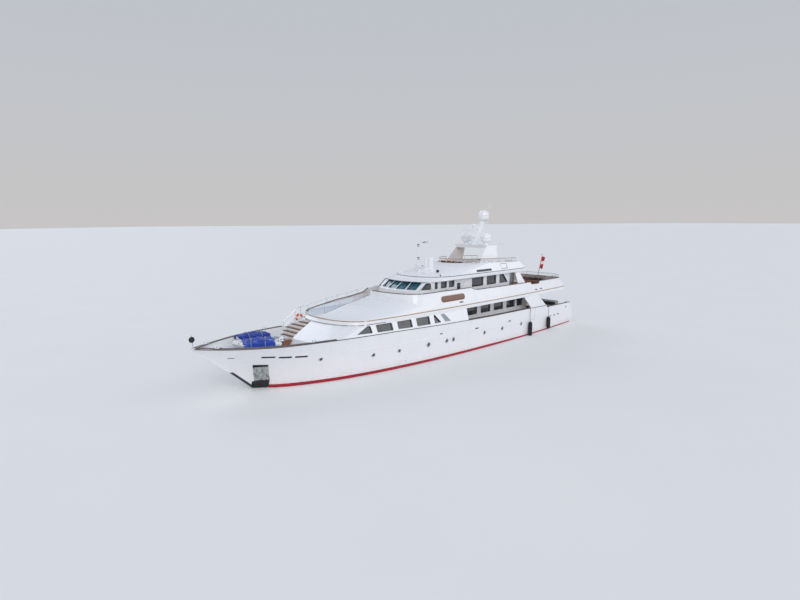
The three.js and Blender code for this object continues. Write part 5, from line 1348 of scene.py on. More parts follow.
def build_aerials():
    """Wind sensors and whip aerials."""
    weather = Shape("black")
    hub = Vector((-0.35, 0.3, 10.03))
    weather.turned([(0.034, 0), (0.034, 0.06), (0.018, 0.08)], hub, sides=12)
    top = hub + UP * 0.05
    for k in range(3):
        a = math.radians(120 * k + 20)
        way = Vector((math.cos(a), math.sin(a), 0))
        weather.tube([top, top + way * 0.15], 0.007, 5)
        cup = [(0.045, 0.0), (0.04, 0.025), (0.022, 0.042), (0.004, 0.046)]
        weather.turned(cup, top + way * 0.16, way.cross(UP), 12)
    vane = Vector((-0.35, -0.2, 9.98))
    weather.tube([vane + Vector((0.2, 0, 0.04)), vane + Vector((-0.25, 0, 0.04))], 0.008, 6)
    weather.block(vane + Vector((-0.33, -0.005, -0.03)), vane + Vector((-0.2, 0.005, 0.11)), 0.003)
    for x, y, high in ((-12.3, 2.45, 1.75), (-12.3, -2.45, 1.75), (-3.9, -2.5, 2.3)):
        foot, _ = cast(surface("sundeck"), (x, y, 9.5), -UP)
        weather.turned([(0.05, -0.01), (0.05, 0.03), (0.025, 0.06), (0.02, 0.14)], foot, sides=12, material="steel")
        weather.tube([foot + UP * 0.1, foot + Vector((-0.04, 0, high))], 0.014, 6, "white", end=0.005)
    for y in (-1.5, 1.5):
        weather.tube([(-8.9, y, 9.5), (-11.0, y * 1.02, 9.56)], 0.014, 6, "steel", end=0.009)
    weather.piece("aerials", slot="stainless")


def build_dome_seams():
    """Each dome's bolted seam and base."""
    for title, x, y, z, radius in (
        ("top_dome", -9.45, 0, 12.02, 0.585), ("port_dome", -8.22, 1.28, 9.8206, 0.57),
        ("starboard_dome", -8.22, -1.28, 9.8206, 0.57),
    ):
        trim = Shape("grey")
        foot = Vector((x, y, z))
        seam = foot + UP * (radius * 0.78)
        trim.turned([(radius * 0.97, -0.016), (radius + 0.006, -0.012), (radius + 0.009, 0.0),
                     (radius + 0.006, 0.012), (radius * 0.97, 0.016)], seam, sides=40, material="white")
        trim.turned([(radius * 0.97, -0.004), (radius + 0.0105, -0.003), (radius + 0.0105, 0.003),
                     (radius * 0.97, 0.004)], seam, sides=40)
        trim.turned([(0.3, 0.0), (radius * 0.72, 0.002), (radius * 0.755, 0.01), (radius * 0.76, 0.04),
                     (radius * 0.74, 0.045)], foot, sides=32, material="white")
        for a in round_angles(10):
            out = Vector((math.cos(a), math.sin(a), 0))
            bolt = [(0.012, -0.01), (0.012, 0.012), (0.006, 0.018)]
            trim.turned(bolt, seam + out * (radius + 0.002), out, 6, "steel")
        trim.piece(f"{title}_seam", slot="white_paint")


def build_roof_lamps():
    """A searchlight, side lamps and a small dome on the roof."""
    search = Shape("steel")
    roof = surface("sundeck")
    foot, _ = cast(roof, (-0.2, 1.95, 9), -UP)
    search.turned([(0.08, -0.02), (0.08, 0.02), (0.04, 0.04), (0.035, 0.1)], foot, sides=16, material="white")
    head, ahead = foot + UP * 0.19, (1, 0.25, -0.05)
    shell = [(0.02, -0.11), (0.1, -0.09), (0.125, 0.02), (0.13, 0.07), (0.115, 0.078)]
    search.turned(shell, head, ahead, 20, "black")
    search.turned([(0.114, 0.05), (0.1, 0.066), (0.04, 0.074)], head, ahead, 20, "lens")
    for side, look in ((1, "lens_red"), (-1, "lens_green")):
        foot, _ = cast(roof, (0.2, side * 2.62, 9), -UP)
        search.block(foot + Vector((-0.3, -0.02, -0.03)), foot + Vector((0.14, 0.02, 0.22)), 0.008, "white")
        lamp = foot + Vector((0.02, side * 0.05, 0.02))
        search.turned([(0.05, 0.01), (0.052, 0.05), (0.05, 0.13), (0.03, 0.14)], lamp, sides=14, material=look)
        search.turned([(0.06, -0.02), (0.062, 0.01), (0.05, 0.03)], lamp, sides=14, material="black")
    foot, _ = cast(roof, (0.9, -1.7, 9), -UP)
    search.turned([(0.1, -0.02), (0.1, 0.05), (0.06, 0.12), (0.02, 0.14)], foot, sides=18, material="white")
    search.piece("roof_lamps", slot="stainless")


# Sundeck

def coaming_top(x):
    """The height of the coaming round the sundeck."""
    return min(7.95, 8.02 + (x + 3) * 0.0327)


def build_sundeck_rail():
    """A wooden handrail on posts, with a wire below it."""
    rail = Shape("steel")
    half = [(-3.62, 0.0), (-3.9, 1.1), (-4.6, 1.82), (-5.6, 2.36), (-6.8, 2.62), (-8.6, 2.66),
            (-10.4, 2.64), (-11.7, 2.52)]
    ring = [(x, -y) for x, y in reversed(half[1:])] + half
    top = flowing([(x, y, coaming_top(x) + 0.37) for x, y in ring], 0.2)
    rail.tube(top, 0.026, 8, "varnish")
    wire = flowing([(x, y, coaming_top(x) + 0.2) for x, y in ring], 0.25)
    rail.tube(wire, 0.012, 6)
    posts = [top[0], top[-1]] + [top[round(k * (len(top) - 1) / 18)] for k in range(1, 18)]
    for point in posts:
        foot = Vector((point.x, point.y, coaming_top(point.x) - 0.09))
        rail.tube([foot, point], 0.016, 8)
        rail.turned([(0.04, 0.085), (0.04, 0.1), (0.02, 0.112)], foot, sides=10)
    rail.piece("sundeck_rail", slot="stainless")


def pillow(shape, centre, half, lean=0.0, material=None, count=12, around=20):
    """A crowned cushion: its sides pull in between the corners and its faces swell."""
    spin = Matrix.Rotation(math.radians(lean), 3, "Y")
    soft, pull = 0.45, 0.035
    rows = []
    for i in range(count + 1):
        v = math.sin((i / count - 0.5) * math.pi)
        wide = half[0] * (1 - pull * (1 - v * v)) * (1 - abs(v) ** 14) ** 0.12
        thick = half[2] * (0.10 + 0.90 * (1 - abs(v) ** 5) ** soft)
        row = []
        for a in round_angles(around):
            c, s = math.cos(a), math.sin(a)
            u = math.copysign(abs(c) ** 0.42, c)
            w = math.copysign(abs(s) ** (soft + 0.2), s)
            y = v * half[1] * (1 - pull * (1 - u * u))
            row.append(Vector(centre) + spin @ Vector((u * max(wide, half[0] * 0.5), y, w * thick)))
        rows.append(row)
    shape.skin(rows, closed=True, capped=True, material=material)


BENCH_TOP, BENCH_PAD = 7.52, 7.645  # the benches' carcass, and the middle of the pads on them


def build_sundeck_seats():
    """Benches, sun pads, a table and a locker."""
    base = Shape("varnish")
    pads = Shape("cream")
    for x0, x1, y0, y1 in (
        (-4.9, -4.3, -1.55, 1.55), (-6.9, -4.9, 1.55, 2.15), (-6.9, -4.9, -2.15, -1.55),
        (-11.4, -9.6, -1.75, -0.15), (-11.4, -9.6, 0.15, 1.75),
    ):
        base.block((x0, y0, SUNDECK), (x1, y1, BENCH_TOP), 0.03, "white")
        base.block((x0 - 0.015, y0 - 0.015, BENCH_TOP), (x1 + 0.015, y1 + 0.015, 7.57), 0.012, "varnish")
        long, wide = x1 - x0, y1 - y0
        count = max(1, round(max(long, wide) / 0.8))
        for k in range(count):
            if wide > long:
                low, high = y0 + wide * k / count, y0 + wide * (k + 1) / count
                x, y, half = (x0 + x1) / 2, (low + high) / 2, (long / 2, (high - low) / 2 - 0.006, 0.08)
            else:
                low, high = x0 + long * k / count, x0 + long * (k + 1) / count
                x, y, half = (low + high) / 2, (y0 + y1) / 2, ((high - low) / 2 - 0.006, wide / 2, 0.08)
            pillow(pads, (x, y, BENCH_PAD), half)
    for side in (-1, 1):
        for x in (-6.55, -5.9, -5.25):
            pillow(pads, (x, side * 1.9 + side * 0.18, 7.88), (0.3, 0.07, 0.17))
    for y in (-1.1, -0.37, 0.37, 1.1):
        pillow(pads, (-4.38, y, 7.88), (0.07, 0.34, 0.17), material="brown_cloth")
    base.block((-6.35, -0.55, 7.62), (-5.25, 0.55, 7.67), 0.015, "varnish")
    stand = [(0.2, 0.0), (0.22, 0.03), (0.05, 0.05), (0.045, 0.38), (0.12, 0.42)]
    base.turned(stand, (-5.8, 0, SUNDECK), sides=18, material="steel")
    base.block((-8.5, 0.9, SUNDECK), (-7.6, 1.8, 8.02), 0.03, "white")
    base.block((-8.54, 0.86, 8.02), (-7.56, 1.84, 8.07), 0.014, "varnish")
    for x in (-8.28, -7.82):
        base.block((x - 0.2, 0.885, 7.35), (x + 0.2, 0.905, 7.95), 0.006, "white")
        base.turned([(0.014, 0.0), (0.016, 0.012), (0.006, 0.02)], (x, 0.885, 7.9), (0, -1, 0), 8, "steel")
    base.piece("sundeck_joinery", slot="teak")
    made = pads.piece("sundeck_pads", slot="cream_cloth", sharp=60)


# Chairs

def armchair(frame, pads, look, cloth):
    """A chair that faces forwards: bent frame, woven back, seat pad and back pad."""
    for side in (-1, 1):
        path = flowing([(0.26, side * 0.27, 0.0), (0.25, side * 0.28, 0.4), (0.22, side * 0.29, 0.6),
                        (0.0, side * 0.295, 0.64), (-0.24, side * 0.28, 0.66), (-0.3, side * 0.26, 0.5),
                        (-0.28, side * 0.25, 0.0)], 0.1)
        frame.tube(path, 0.018, 6, look)
        frame.tube([(0.25, side * 0.27, 0.36), (-0.28, side * 0.255, 0.34)], 0.015, 6, look)
    frame.tube([(0.25, -0.27, 0.36), (0.25, 0.27, 0.36)], 0.015, 6, look)
    frame.tube([(-0.28, -0.255, 0.34), (-0.28, 0.255, 0.34)], 0.015, 6, look)
    for k in range(7):
        x = 0.22 - 0.08 * k
        frame.block((x - 0.03, -0.27, 0.345), (x + 0.03, 0.27, 0.362), 0.004, look)
    for k in range(6):
        z = 0.46 + 0.075 * k
        lean = 0.035 * k
        rows = flowing([(-0.27 - lean * 0.3, -0.27, z), (-0.35 - lean, -0.14, z + 0.01),
                        (-0.37 - lean, 0, z + 0.012), (-0.35 - lean, 0.14, z + 0.01),
                        (-0.27 - lean * 0.3, 0.27, z)], 0.12)
        slat = [(-0.006, -0.03), (0.006, -0.028), (0.006, 0.028), (-0.006, 0.03)]
        frame.band(rows, (-1, 0, 0), slat, look)
    for y in (-0.14, 0.14):
        frame.tube([(-0.28, y, 0.34), (-0.36, y, 0.5), (-0.53, y, 0.88)], 0.012, 6, look)
    pillow(pads, (-0.01, 0, 0.41), (0.26, 0.25, 0.05), material=cloth, count=10, around=16)
    pillow(pads, (-0.33, 0, 0.62), (0.05, 0.22, 0.17), lean=-16, material=cloth, count=10, around=16)


CHAIRS = (
    # table, frame, cloth, deck, then each chair's place and the way it faces
    ("aft", "black", "charcoal", AFT_DECK, (
        (-17.45, -0.42, 90), (-18.35, -0.42, 90), (-17.45, 1.52, -90), (-18.35, 1.52, -90), (-16.35, 0.55, 180))),
    ("upper", "varnish", "navy", UPPER_DECK, (
        (-14.55, -0.68, 90), (-15.2, -0.68, 90), (-15.85, -0.68, 90), (-14.55, 1.28, -90), (-15.2, 1.28, -90),
        (-15.85, 1.28, -90), (-13.55, 0.3, 180), (-16.85, 0.3, 0))),
)


def build_chairs():
    """Armchairs round the two tables."""
    for title, look, cloth, floor, places in CHAIRS:
        frame, pads = Shape(look), Shape(cloth)
        single, pad = Shape(look), Shape(cloth)
        armchair(single, pad, look, cloth)
        for x, y, turn in places:
            frame.take(single, (x, y, floor + 0.001), turn)
            pads.take(pad, (x, y, floor + 0.001), turn)
        frame.piece(f"{title}_chairs", slot="black_rubber" if look == "black" else "teak")
        made = pads.piece(f"{title}_chair_pads", slot="blue_canvas", sharp=60)


def build_lounge_seats():
    """A sofa with pads, and a low table."""
    base = Shape("varnish")
    pads = Shape("brown_cloth")
    floor = UPPER_DECK
    for y0, y1 in ((-1.5, -0.02), (0.02, 1.5)):
        base.block((-19.25, y0, floor + 0.06), (-18.45, y1, floor + 0.3), 0.02)
        for x in (-19.15, -18.55):
            for y in (y0 + 0.1, y1 - 0.1):
                base.box(x, y, 0.03, 0.03, floor, floor + 0.1, 0.006)
        base.block((-19.3, y0, floor + 0.28), (-19.18, y1, floor + 0.72), 0.02)
        for k in range(2):
            middle = y0 + (y1 - y0) * (k + 0.5) / 2
            pillow(pads, (-18.83, middle, floor + 0.38), (0.36, (y1 - y0) / 4 - 0.006, 0.085))
            pillow(pads, (-19.08, middle, floor + 0.6), (0.085, (y1 - y0) / 4 - 0.01, 0.2), material="charcoal")
    base.block((-18.0, -0.5, floor + 0.34), (-17.3, 0.5, floor + 0.38), 0.012)
    for x in (-17.92, -17.38):
        for y in (-0.42, 0.42):
            base.box(x, y, 0.03, 0.03, floor, floor + 0.345, 0.006)
    base.block((-18.0, -0.5, floor + 0.12), (-17.3, 0.5, floor + 0.14), 0.006)
    base.piece("lounge_seats", slot="teak")
    made = pads.piece("lounge_pads", slot="blue_canvas", sharp=60)


def build_stair_rails():
    """The guard round the stair's well, and the stair's handrails."""
    floor = UPPER_DECK
    guard = Shape("steel")
    y, wall, x0, x1 = -2.28, -3.22, -17.45, -14.1
    for z, radius in ((0.95, 0.02), (0.62, 0.01), (0.32, 0.01)):
        guard.tube([(x0, y, floor + z), (x1, y, floor + z), (x1, wall, floor + z)], radius, 8)
    for x in spread(x0, x1, 0.84):
        guard.tube([(x, y, floor), (x, y, floor + 0.95)], 0.018, 8)
        guard.turned([(0.04, 0), (0.04, 0.012), (0.02, 0.02)], (x, y, floor), sides=10)
    guard.tube([(x1, wall, floor), (x1, wall, floor + 0.95)], 0.018, 8)
    for y in (-2.4, -3.1):
        path = flowing([(-14.35, y, AFT_DECK), (-14.45, y, 2.3), (-15.3, y, 3.15), (-17.0, y, 4.95),
                        (-17.5, y, 5.35)], 0.3)
        guard.tube(path, 0.02, 8)
        for x, z in ((-15.6, 2.6), (-16.6, 3.6)):
            guard.tube([(x, y, z), (x, y, z + 0.93)], 0.014, 8)
    guard.piece("stair_rails", slot="stainless")


def build_stern_wires():
    """Two wires above the upper deck's stern bulwark."""
    wires = Shape("steel")
    level = 5.3
    path, outs = girdle(surface("upper_bulwark"), round_stern(rays_round(5.2, -20.6, 3.0, 0.6), -15.2), level)
    for z in (5.55, 5.66):
        wires.tube([p - o * 0.07 + UP * (z - level) for p, o in zip(path, outs)], 0.008, 6)
    wires.piece("stern_wires", slot="stainless")


# Walkway, steps and foredeck

STEPS, STEP_FOOT, STEP_RISE, STEP_GOING = 7, 13.7, 0.24, 0.33


def build_step_treads():
    """Boards on the walkway's steps, as wide as each step that rays find."""
    house = surface("fore_house")
    treads = Shape("teak")
    for n in range(1, STEPS + 1):
        z = FOREDECK + STEP_RISE * n
        aft = STEP_FOOT - STEP_GOING * n
        level = []
        for y in spread(-1.0, -4.1, 0.05):
            hits = [cast(house, (x, y, 6), -UP)[0] for x in (aft + 0.03, aft + 0.3)]
            if all(hit is not None and abs(hit.z - z) < 0.02 for hit in hits):
                level.append(y)
        if not level:
            continue
        inner, outer = max(level) - 0.02, min(level) + 0.04
        for k in range(4):
            x = aft + 0.025 + 0.073 * k
            treads.block((x, outer, z), (x + 0.064, inner, z + 0.018), 0.004)
        treads.block((aft + 0.312, outer, z - 0.03), (aft + 0.337, inner, z + 0.02), 0.006, "black")
    treads.piece("step_treads", slot="teak")


def build_walkway_rails():
    """Rails beside the steps, on the outer wall and along the coach roof."""
    rail = Shape("steel")
    path = [Vector((12.7, -3.86, 3.84)), Vector((12.3, -3.76, 4.12)), Vector((11.7, -3.6, 4.66)),
            Vector((11.2, -3.5, 4.88))]
    tops = [walkway_rim(x) + Vector((0, 0.07, 0.42)) for x in (10.4, 9.4, 8.2, 7.0, 5.8, 4.6, 3.9)]
    line = flowing(path + tops, 0.2)
    rail.tube(line, 0.022, 8)
    for x in (10.4, 9.4, 8.2, 7.0, 5.8, 4.6):
        foot = walkway_rim(x) + Vector((0, 0.07, 0.0))
        rail.tube([foot, foot + UP * 0.42], 0.017, 8)
        rail.turned([(0.04, 0.03), (0.04, 0.048), (0.02, 0.06)], foot, sides=10)
    for point, foot in ((path[0], 3.36), (path[2], 4.18), (path[3], 4.36)):
        rail.tube([(point.x, point.y, foot - 0.02), point], 0.017, 8)
    high_rail = [(10.45, -1.1, 5.3), (8.7, -1.24, 5.45), (7.0, -1.37, 5.62), (5.35, -1.5, 5.8)]
    for x, y, z in high_rail:
        rail.tube([(x, y, 4.52), (x, y, z)], 0.015, 8)
        rail.turned([(0.04, 0), (0.04, 0.014), (0.018, 0.024)], (x, y, 4.52), sides=10)
    rail.tube(high_rail, 0.018, 8, "varnish")
    rail.piece("walkway_rails", slot="stainless")


def build_lifebuoy():
    """A ring in two colours."""
    ring = Shape("orange")
    centre = Vector((11.45, -3.47, 4.02))
    rows = []
    for a in round_angles(32):
        way = Vector((math.cos(a), 0.0, math.sin(a)))
        rows.append([centre + way * (0.27 + 0.085 * math.cos(b)) + Vector((0, 0.06 + 0.055 * math.sin(b), 0))
                     for b in round_angles(12)])
    rows.append(rows[0])
    for k in range(32):
        ring.skin(rows[k:k + 2], closed=True, material="white" if (k // 2) % 4 == 0 else "orange")
    ring.piece("lifebuoy", slot="flag_cloth")


def bollard(shape, x, y, z):
    """A pair of posts with caps on one base plate."""
    shape.box(x, y, 0.32, 0.12, z, z + 0.03, 0.012, "steel")
    post = [(0.085, 0.025), (0.07, 0.05), (0.066, 0.24), (0.1, 0.28), (0.1, 0.31), (0.03, 0.325)]
    for dx in (-0.18, 0.18):
        shape.turned(post, (x + dx, y, z), sides=18, material="steel")
    shape.tube([(x - 0.3, y, z + 0.16), (x + 0.3, y, z + 0.16)], 0.022, 8, "steel")


def cleat(shape, x, y, z, turn=0.0):
    """A bar with two horns on two feet."""
    spin = Matrix.Rotation(math.radians(turn), 3, "Z")
    at = Vector((x, y, z))
    path = flowing([(-0.2, 0, 0.1), (-0.1, 0, 0.115), (0, 0, 0.12), (0.1, 0, 0.115), (0.2, 0, 0.1)], 0.05)
    radii = [0.012, 0.018] + [0.024] * (len(path) - 4) + [0.018, 0.012]
    shape.tube([at + spin @ p for p in path], radii, 8, "steel")
    foot = [(0.04, 0), (0.038, 0.012), (0.02, 0.03), (0.02, 0.1)]
    for dx in (-0.06, 0.06):
        shape.turned(foot, at + spin @ Vector((dx, 0, 0)), sides=12, material="steel")


def build_foredeck_fittings():
    """Bollards, cleats, the windlass's wheels and its chain pipes."""
    gear = Shape("steel")
    for x, y in ((18.6, 0.8), (18.6, -0.8), (14.4, 2.75), (14.95, -2.7)):
        bollard(gear, x, y, FOREDECK)
    for x, y in ((17.2, 1.78), (17.2, -1.8), (15.9, 2.3)):
        cleat(gear, x, y, FOREDECK, turn=-20 if y > 0 else 20)
    for side in (-1, 1):
        x, y = 19.3, side * 0.36
        gear.turned([(0.07, 0.0), (0.075, 0.02), (0.17, 0.03), (0.17, 0.05), (0.06, 0.06)], (x, y, 2.9), sides=20)
        for a in round_angles(10):
            gear.box(x + 0.125 * math.cos(a), y + 0.125 * math.sin(a), 0.02, 0.02, 2.66, 2.74, 0.006)
        pipe = [(0.1, 0.0), (0.1, 0.03), (0.08, 0.05), (0.05, 0.035), (0.035, 0.0)]
        gear.turned(pipe, (19.76, side * 0.17, FOREDECK), sides=20)
    gear.piece("foredeck_fittings", slot="stainless")


def build_foredeck_hatches():
    """Two hatches with hinges."""
    hatch = Shape("white")
    for x, y, size in ((15.35, 1.95, 0.7), (18.35, 0.0, 0.45)):
        half = size / 2
        hatch.block((x - half - 0.05, y - half - 0.05, FOREDECK), (x + half + 0.05, y + half + 0.05, 2.45), 0.015)
        hatch.box(x, y, half, half, 2.44, 2.5, 0.018)
        for hinge in (y - 0.3 * size, y + 0.3 * size):
            low, high = (x - half - 0.05, hinge - 0.03, 2.45), (x - half + 0.02, hinge + 0.03, 2.515)
            hatch.block(low, high, 0.006, "steel")
        latch = (x + half - 0.07, y, 2.498)
        hatch.turned([(0.03, 0), (0.03, 0.012), (0.012, 0.02)], latch, sides=12, material="steel")
    hatch.piece("foredeck_hatches", slot="white_paint")


def build_deck_box():
    """A box with a slatted lid."""
    box = Shape("teak")
    box.block((13.86, -2.92, FOREDECK), (14.5, -1.15, 2.76), 0.02, "varnish")
    for k in range(9):
        y = -2.93 + 0.2 * k
        box.block((13.84, y, 2.765), (14.52, y + 0.175, 2.79), 0.006, "varnish" if k % 2 else "teak")
    for y in (-2.6, -1.55):
        box.block((14.49, y - 0.03, 2.62), (14.52, y + 0.03, 2.8), 0.005, "steel")
    box.piece("deck_box", slot="teak")


def build_fairleads():
    """Horned leads on the bulwark's cap."""
    fair = Shape("steel")
    for side in SIDES.values():
        for x in (20.9, 14.8, -20.4):
            y, z = sheer_at(x)
            low_y, high_y = sorted((side * y + side * 0.02, side * y - side * 0.16))
            fair.block((x - 0.24, low_y, z + 0.05), (x + 0.24, high_y, z + 0.075), 0.01)
            horn = side * (y - 0.07)
            for dx in (-0.14, 0.14):
                path = flowing([(x + dx, horn, z + 0.06), (x + dx * 1.05, horn, z + 0.15),
                                (x + dx * 0.6, horn, z + 0.2)], 0.03)
                fair.tube(path, 0.024, 8)
    fair.piece("fairleads", slot="stainless")


# Boats on the foredeck

HEM_DROP = 0.09  # how far a cover's edge turns over a boat's shoulder


def cover_section(row, count=24):
    """Half-widths and heights across a boat, from hem to hem: a crown, a shoulder and a fall."""
    x, half, shoulder, ridge, hem = row
    points = []
    for k in range(-count, count + 1):
        w = abs(k) / count
        side = math.copysign(1, k)
        if w < 0.55:
            a = w / 0.55
            y = half * math.sin(a * math.pi / 2) * 0.97
            z = ridge + (shoulder - ridge) * (1 - math.cos(a * math.pi)) / 2
        elif w < 0.7:
            a = (w - 0.55) / 0.15 * math.pi / 2
            y = half * 0.97 + half * 0.06 * math.sin(a)
            z = shoulder - HEM_DROP * (1 - math.cos(a))
        else:
            a = (w - 0.7) / 0.3
            y = half * 1.03 - 0.02 * a
            z = shoulder - HEM_DROP + (hem - shoulder + HEM_DROP) * a
        points.append(Vector((x, side * y, z)))
    return points


def boat_cover(name, look, boat, stations, folds=1.0):
    """A cloth laid over a boat, with creases along it and folds that deepen to the hem."""
    xs = spread(stations[0][0], stations[-1][0], 0.035)
    columns = list(zip(*stations))
    table = [[x] + [float(np.interp(x, columns[0], column)) for column in columns[1:]] for x in xs]
    rows = []
    for row in table:
        x = row[0]
        points = cover_section(row)
        middle = len(points) // 2
        end = max(0.0, 1 - min(x - xs[0], xs[-1] - x) / 0.45)
        for k, point in enumerate(points):
            side = 1 if k >= middle else -1
            deep = max(0.0, abs(k - middle) / middle - 0.5) * 2
            pleat = math.sin(x * 13 + side * 1.7 + 2.2 * math.sin(x * 3.1)) * 0.5
            pleat += math.sin(x * 29 + k * 0.2) * 0.25
            ridge = 1 - 2 * abs(noise.noise(Vector((x * 3.1 + point.y * 2, point.y * 4.3, 4.2))))
            crease = noise.noise(Vector((x * 2.2, point.y * 3.0, 1.7))) * 0.09 + (max(0.0, ridge) ** 3) * 0.06
            point.y += side * (0.028 * pleat * deep) * folds
            point.x += end * 0.3 * noise.noise(Vector((x * 0.4, point.y * 2.6, 8.1)))
            point.z += (crease - 0.045) * folds * (1 - 0.5 * deep) + 0.06 * deep * math.sin(x * 5.3 + side) * folds
        rows.append(points)
    cloth = Shape(look)
    cloth.skin(rows)
    placed = Shape(look)
    placed.take(cloth, boat["place"], boat["turn"])
    made = placed.piece(name, slot="blue_canvas", sharp=75)
    solid = made.modifiers.new("cloth", "SOLIDIFY")
    solid.thickness = 0.003
    long = (xs[-1] - xs[0] + 0.1) * SCALE
    return table


NEAR_BOAT = {"place": (17.25, -0.3, 2.74), "turn": -30}
FAR_BOAT = {"place": (16.7, -1.95, 3.0), "turn": -6}


def tender_tube():
    """The inflated tube from quarter to quarter, and its rubbing strake, bands and handles."""
    line = [(-1.78, 0.56, 0.46), (-1.3, 0.59, 0.45), (-0.4, 0.6, 0.45), (0.4, 0.585, 0.465), (0.9, 0.52, 0.49),
            (1.3, 0.37, 0.53), (1.55, 0.17, 0.57)]
    path = flowing(line + [(1.62, 0, 0.58)] + [(x, -y, z) for x, y, z in reversed(line)], 0.09)
    reach = len(path) - 1
    radii = [0.19 * min(1.0, 0.25 + 0.75 * (min(k, reach - k) / 4) ** 0.6) for k in range(reach + 1)]
    tube = Shape("tube")
    tube.tube(path, radii, 20)
    seam = Shape("tube_grey")
    ways = []
    for k in range(len(path)):
        along = (path[min(k + 1, reach)] - path[max(k - 1, 0)]).normalized()
        ways.append(Vector((-along.y, along.x, 0)).normalized())
    outer = [p + w * 0.178 + Vector((0, 0, -0.03)) for p, w in zip(path, ways)][3:-3]
    seam.tube(outer, 0.03, 8)
    for share in (0.2, 0.34, 0.66, 0.8):
        k = round(share * reach)
        middle = path[k]
        along = (path[k + 1] - path[k - 1]).normalized()
        across = along.cross(UP).normalized()
        ring = [[middle + along * d + (across * math.cos(a) + UP * math.sin(a)) * 0.1935
                 for a in round_angles(20)] for d in (-0.05, 0.05)]
        seam.skin(ring, closed=True)
    for share in (0.12, 0.27, 0.42, 0.58, 0.73, 0.88):
        k = round(share * reach)
        seam.turned([(0.035, 0.17), (0.04, 0.196), (0.02, 0.21)], path[k], ways[k] * 0.8 + UP * 0.6, 12, "black")
    return tube, seam


def tender_hull():
    """The rigid hull with its console, seat and outboard motor."""
    hull = Shape("white")
    stations = (
        # place, keel, half-width, chine
        (-1.62, 0.04, 0.44, 0.2), (-0.9, 0.03, 0.46, 0.18), (0.0, 0.03, 0.45, 0.2), (0.7, 0.07, 0.38, 0.26),
        (1.2, 0.19, 0.24, 0.36), (1.5, 0.36, 0.08, 0.46),
    )
    rows = []
    for x, keel, wide, chine in stations:
        half = [(x, wide, 0.46), (x, wide, chine), (x, wide * 0.5, (keel + chine) / 2 - 0.01)]
        rows.append(half + [(x, 0, keel)] + [(x, -y, z) for x, y, z in reversed(half)])
    hull.skin(rows, closed=True, capped=True)
    hull.block((-1.66, -0.43, 0.1), (-1.58, 0.43, 0.72), 0.015)
    hull.block((-1.5, -0.27, 0.45), (-1.05, 0.27, 0.8), 0.04)
    hull.block((-1.52, -0.28, 0.8), (-1.03, 0.28, 0.86), 0.025, "tube_grey")
    hull.block((-1.93, -0.14, 0.5), (-1.64, 0.14, 0.88), 0.06, "white")
    hull.block((-1.935, -0.145, 0.66), (-1.635, 0.145, 0.7), 0.01, "black")
    hull.block((-1.86, -0.05, 0.24), (-1.72, 0.05, 0.52), 0.02, "black")
    hull.turned([(0.04, 0), (0.042, 0.012), (0.02, 0.02)], (-1.05, 0.12, 0.66), (1, 0, 0), 14, "black")
    hull.block((1.0, -0.22, 0.46), (1.36, 0.22, 0.55), 0.03)
    hull.turned([(0.05, 0), (0.03, 0.03), (0.028, 0.09), (0.045, 0.1)], (1.2, 0, 0.55), sides=12, material="steel")
    return hull


def build_near_boat():
    """An inflatable tender below its cover."""
    whole = Shape("white")
    for part in (*tender_tube(), tender_hull()):
        whole.take(part, NEAR_BOAT["place"], NEAR_BOAT["turn"])
    whole.piece("tender", slot="white_paint", replaces=("boat_port",))
    stations = [
        # place, half-width, shoulder, ridge and hem heights
        (-1.3, 0.79, 0.65, 0.82, 0.34), (-1.0, 0.8, 0.655, 0.94, 0.28), (-0.6, 0.8, 0.655, 0.90, 0.24),
        (-0.1, 0.8, 0.655, 0.92, 0.3), (0.4, 0.79, 0.67, 0.84, 0.26), (0.8, 0.74, 0.69, 0.78, 0.34),
        (1.1, 0.64, 0.71, 0.75, 0.4),
    ]
    table = boat_cover("tender_cover", "blue", NEAR_BOAT, stations)
    lash_down("tender_straps", NEAR_BOAT, table, (0.3, 0.72), 0.24)


def build_far_boat():
    """A small dinghy below its cover."""
    hull = Shape("white")
    stations = (
        # place, keel, half-width, chine, gunwale
        (-1.32, 0.1, 0.4, 0.16, 0.46), (-0.7, 0.04, 0.5, 0.14, 0.46), (0.0, 0.03, 0.53, 0.14, 0.47),
        (0.6, 0.06, 0.46, 0.18, 0.5), (1.05, 0.16, 0.26, 0.28, 0.54), (1.3, 0.36, 0.05, 0.42, 0.58),
    )
    rows = []
    for x, keel, wide, chine, top in stations:
        half = [(x, wide, top), (x, wide * 0.98, (top + chine) / 2), (x, wide * 0.9, chine)]
        rows.append(half + [(x, 0, keel)] + [(x, -y, z) for x, y, z in reversed(half)])
    hull.skin(rows, closed=True, capped=True)
    guard = [(x, wide + 0.012, top - 0.03) for x, _, wide, _, top in stations]
    path = flowing(guard + [(1.33, 0, 0.56)] + [(x, -y, z) for x, y, z in reversed(guard)], 0.12)
    hull.tube(path, 0.025, 8, "tube_grey")
    whole = Shape("white")
    whole.take(hull, FAR_BOAT["place"], FAR_BOAT["turn"])
    whole.piece("dinghy", slot="white_paint", replaces=("boat_starboard",))
    stations = [
        # place, half-width, shoulder, ridge and hem heights
        (-1.34, 0.47, 0.53, 0.56, 0.24), (-1.0, 0.53, 0.55, 0.69, 0.22), (-0.4, 0.58, 0.57, 0.76, 0.2),
        (0.2, 0.58, 0.58, 0.78, 0.22), (0.75, 0.5, 0.6, 0.73, 0.26), (1.15, 0.31, 0.63, 0.68, 0.34),
        (1.36, 0.14, 0.63, 0.65, 0.42),
    ]
    table = boat_cover("dinghy_cover", "blue_dark", FAR_BOAT, stations, folds=0.9)
    lash_down("dinghy_straps", FAR_BOAT, table, (0.3, 0.68), 0.2)


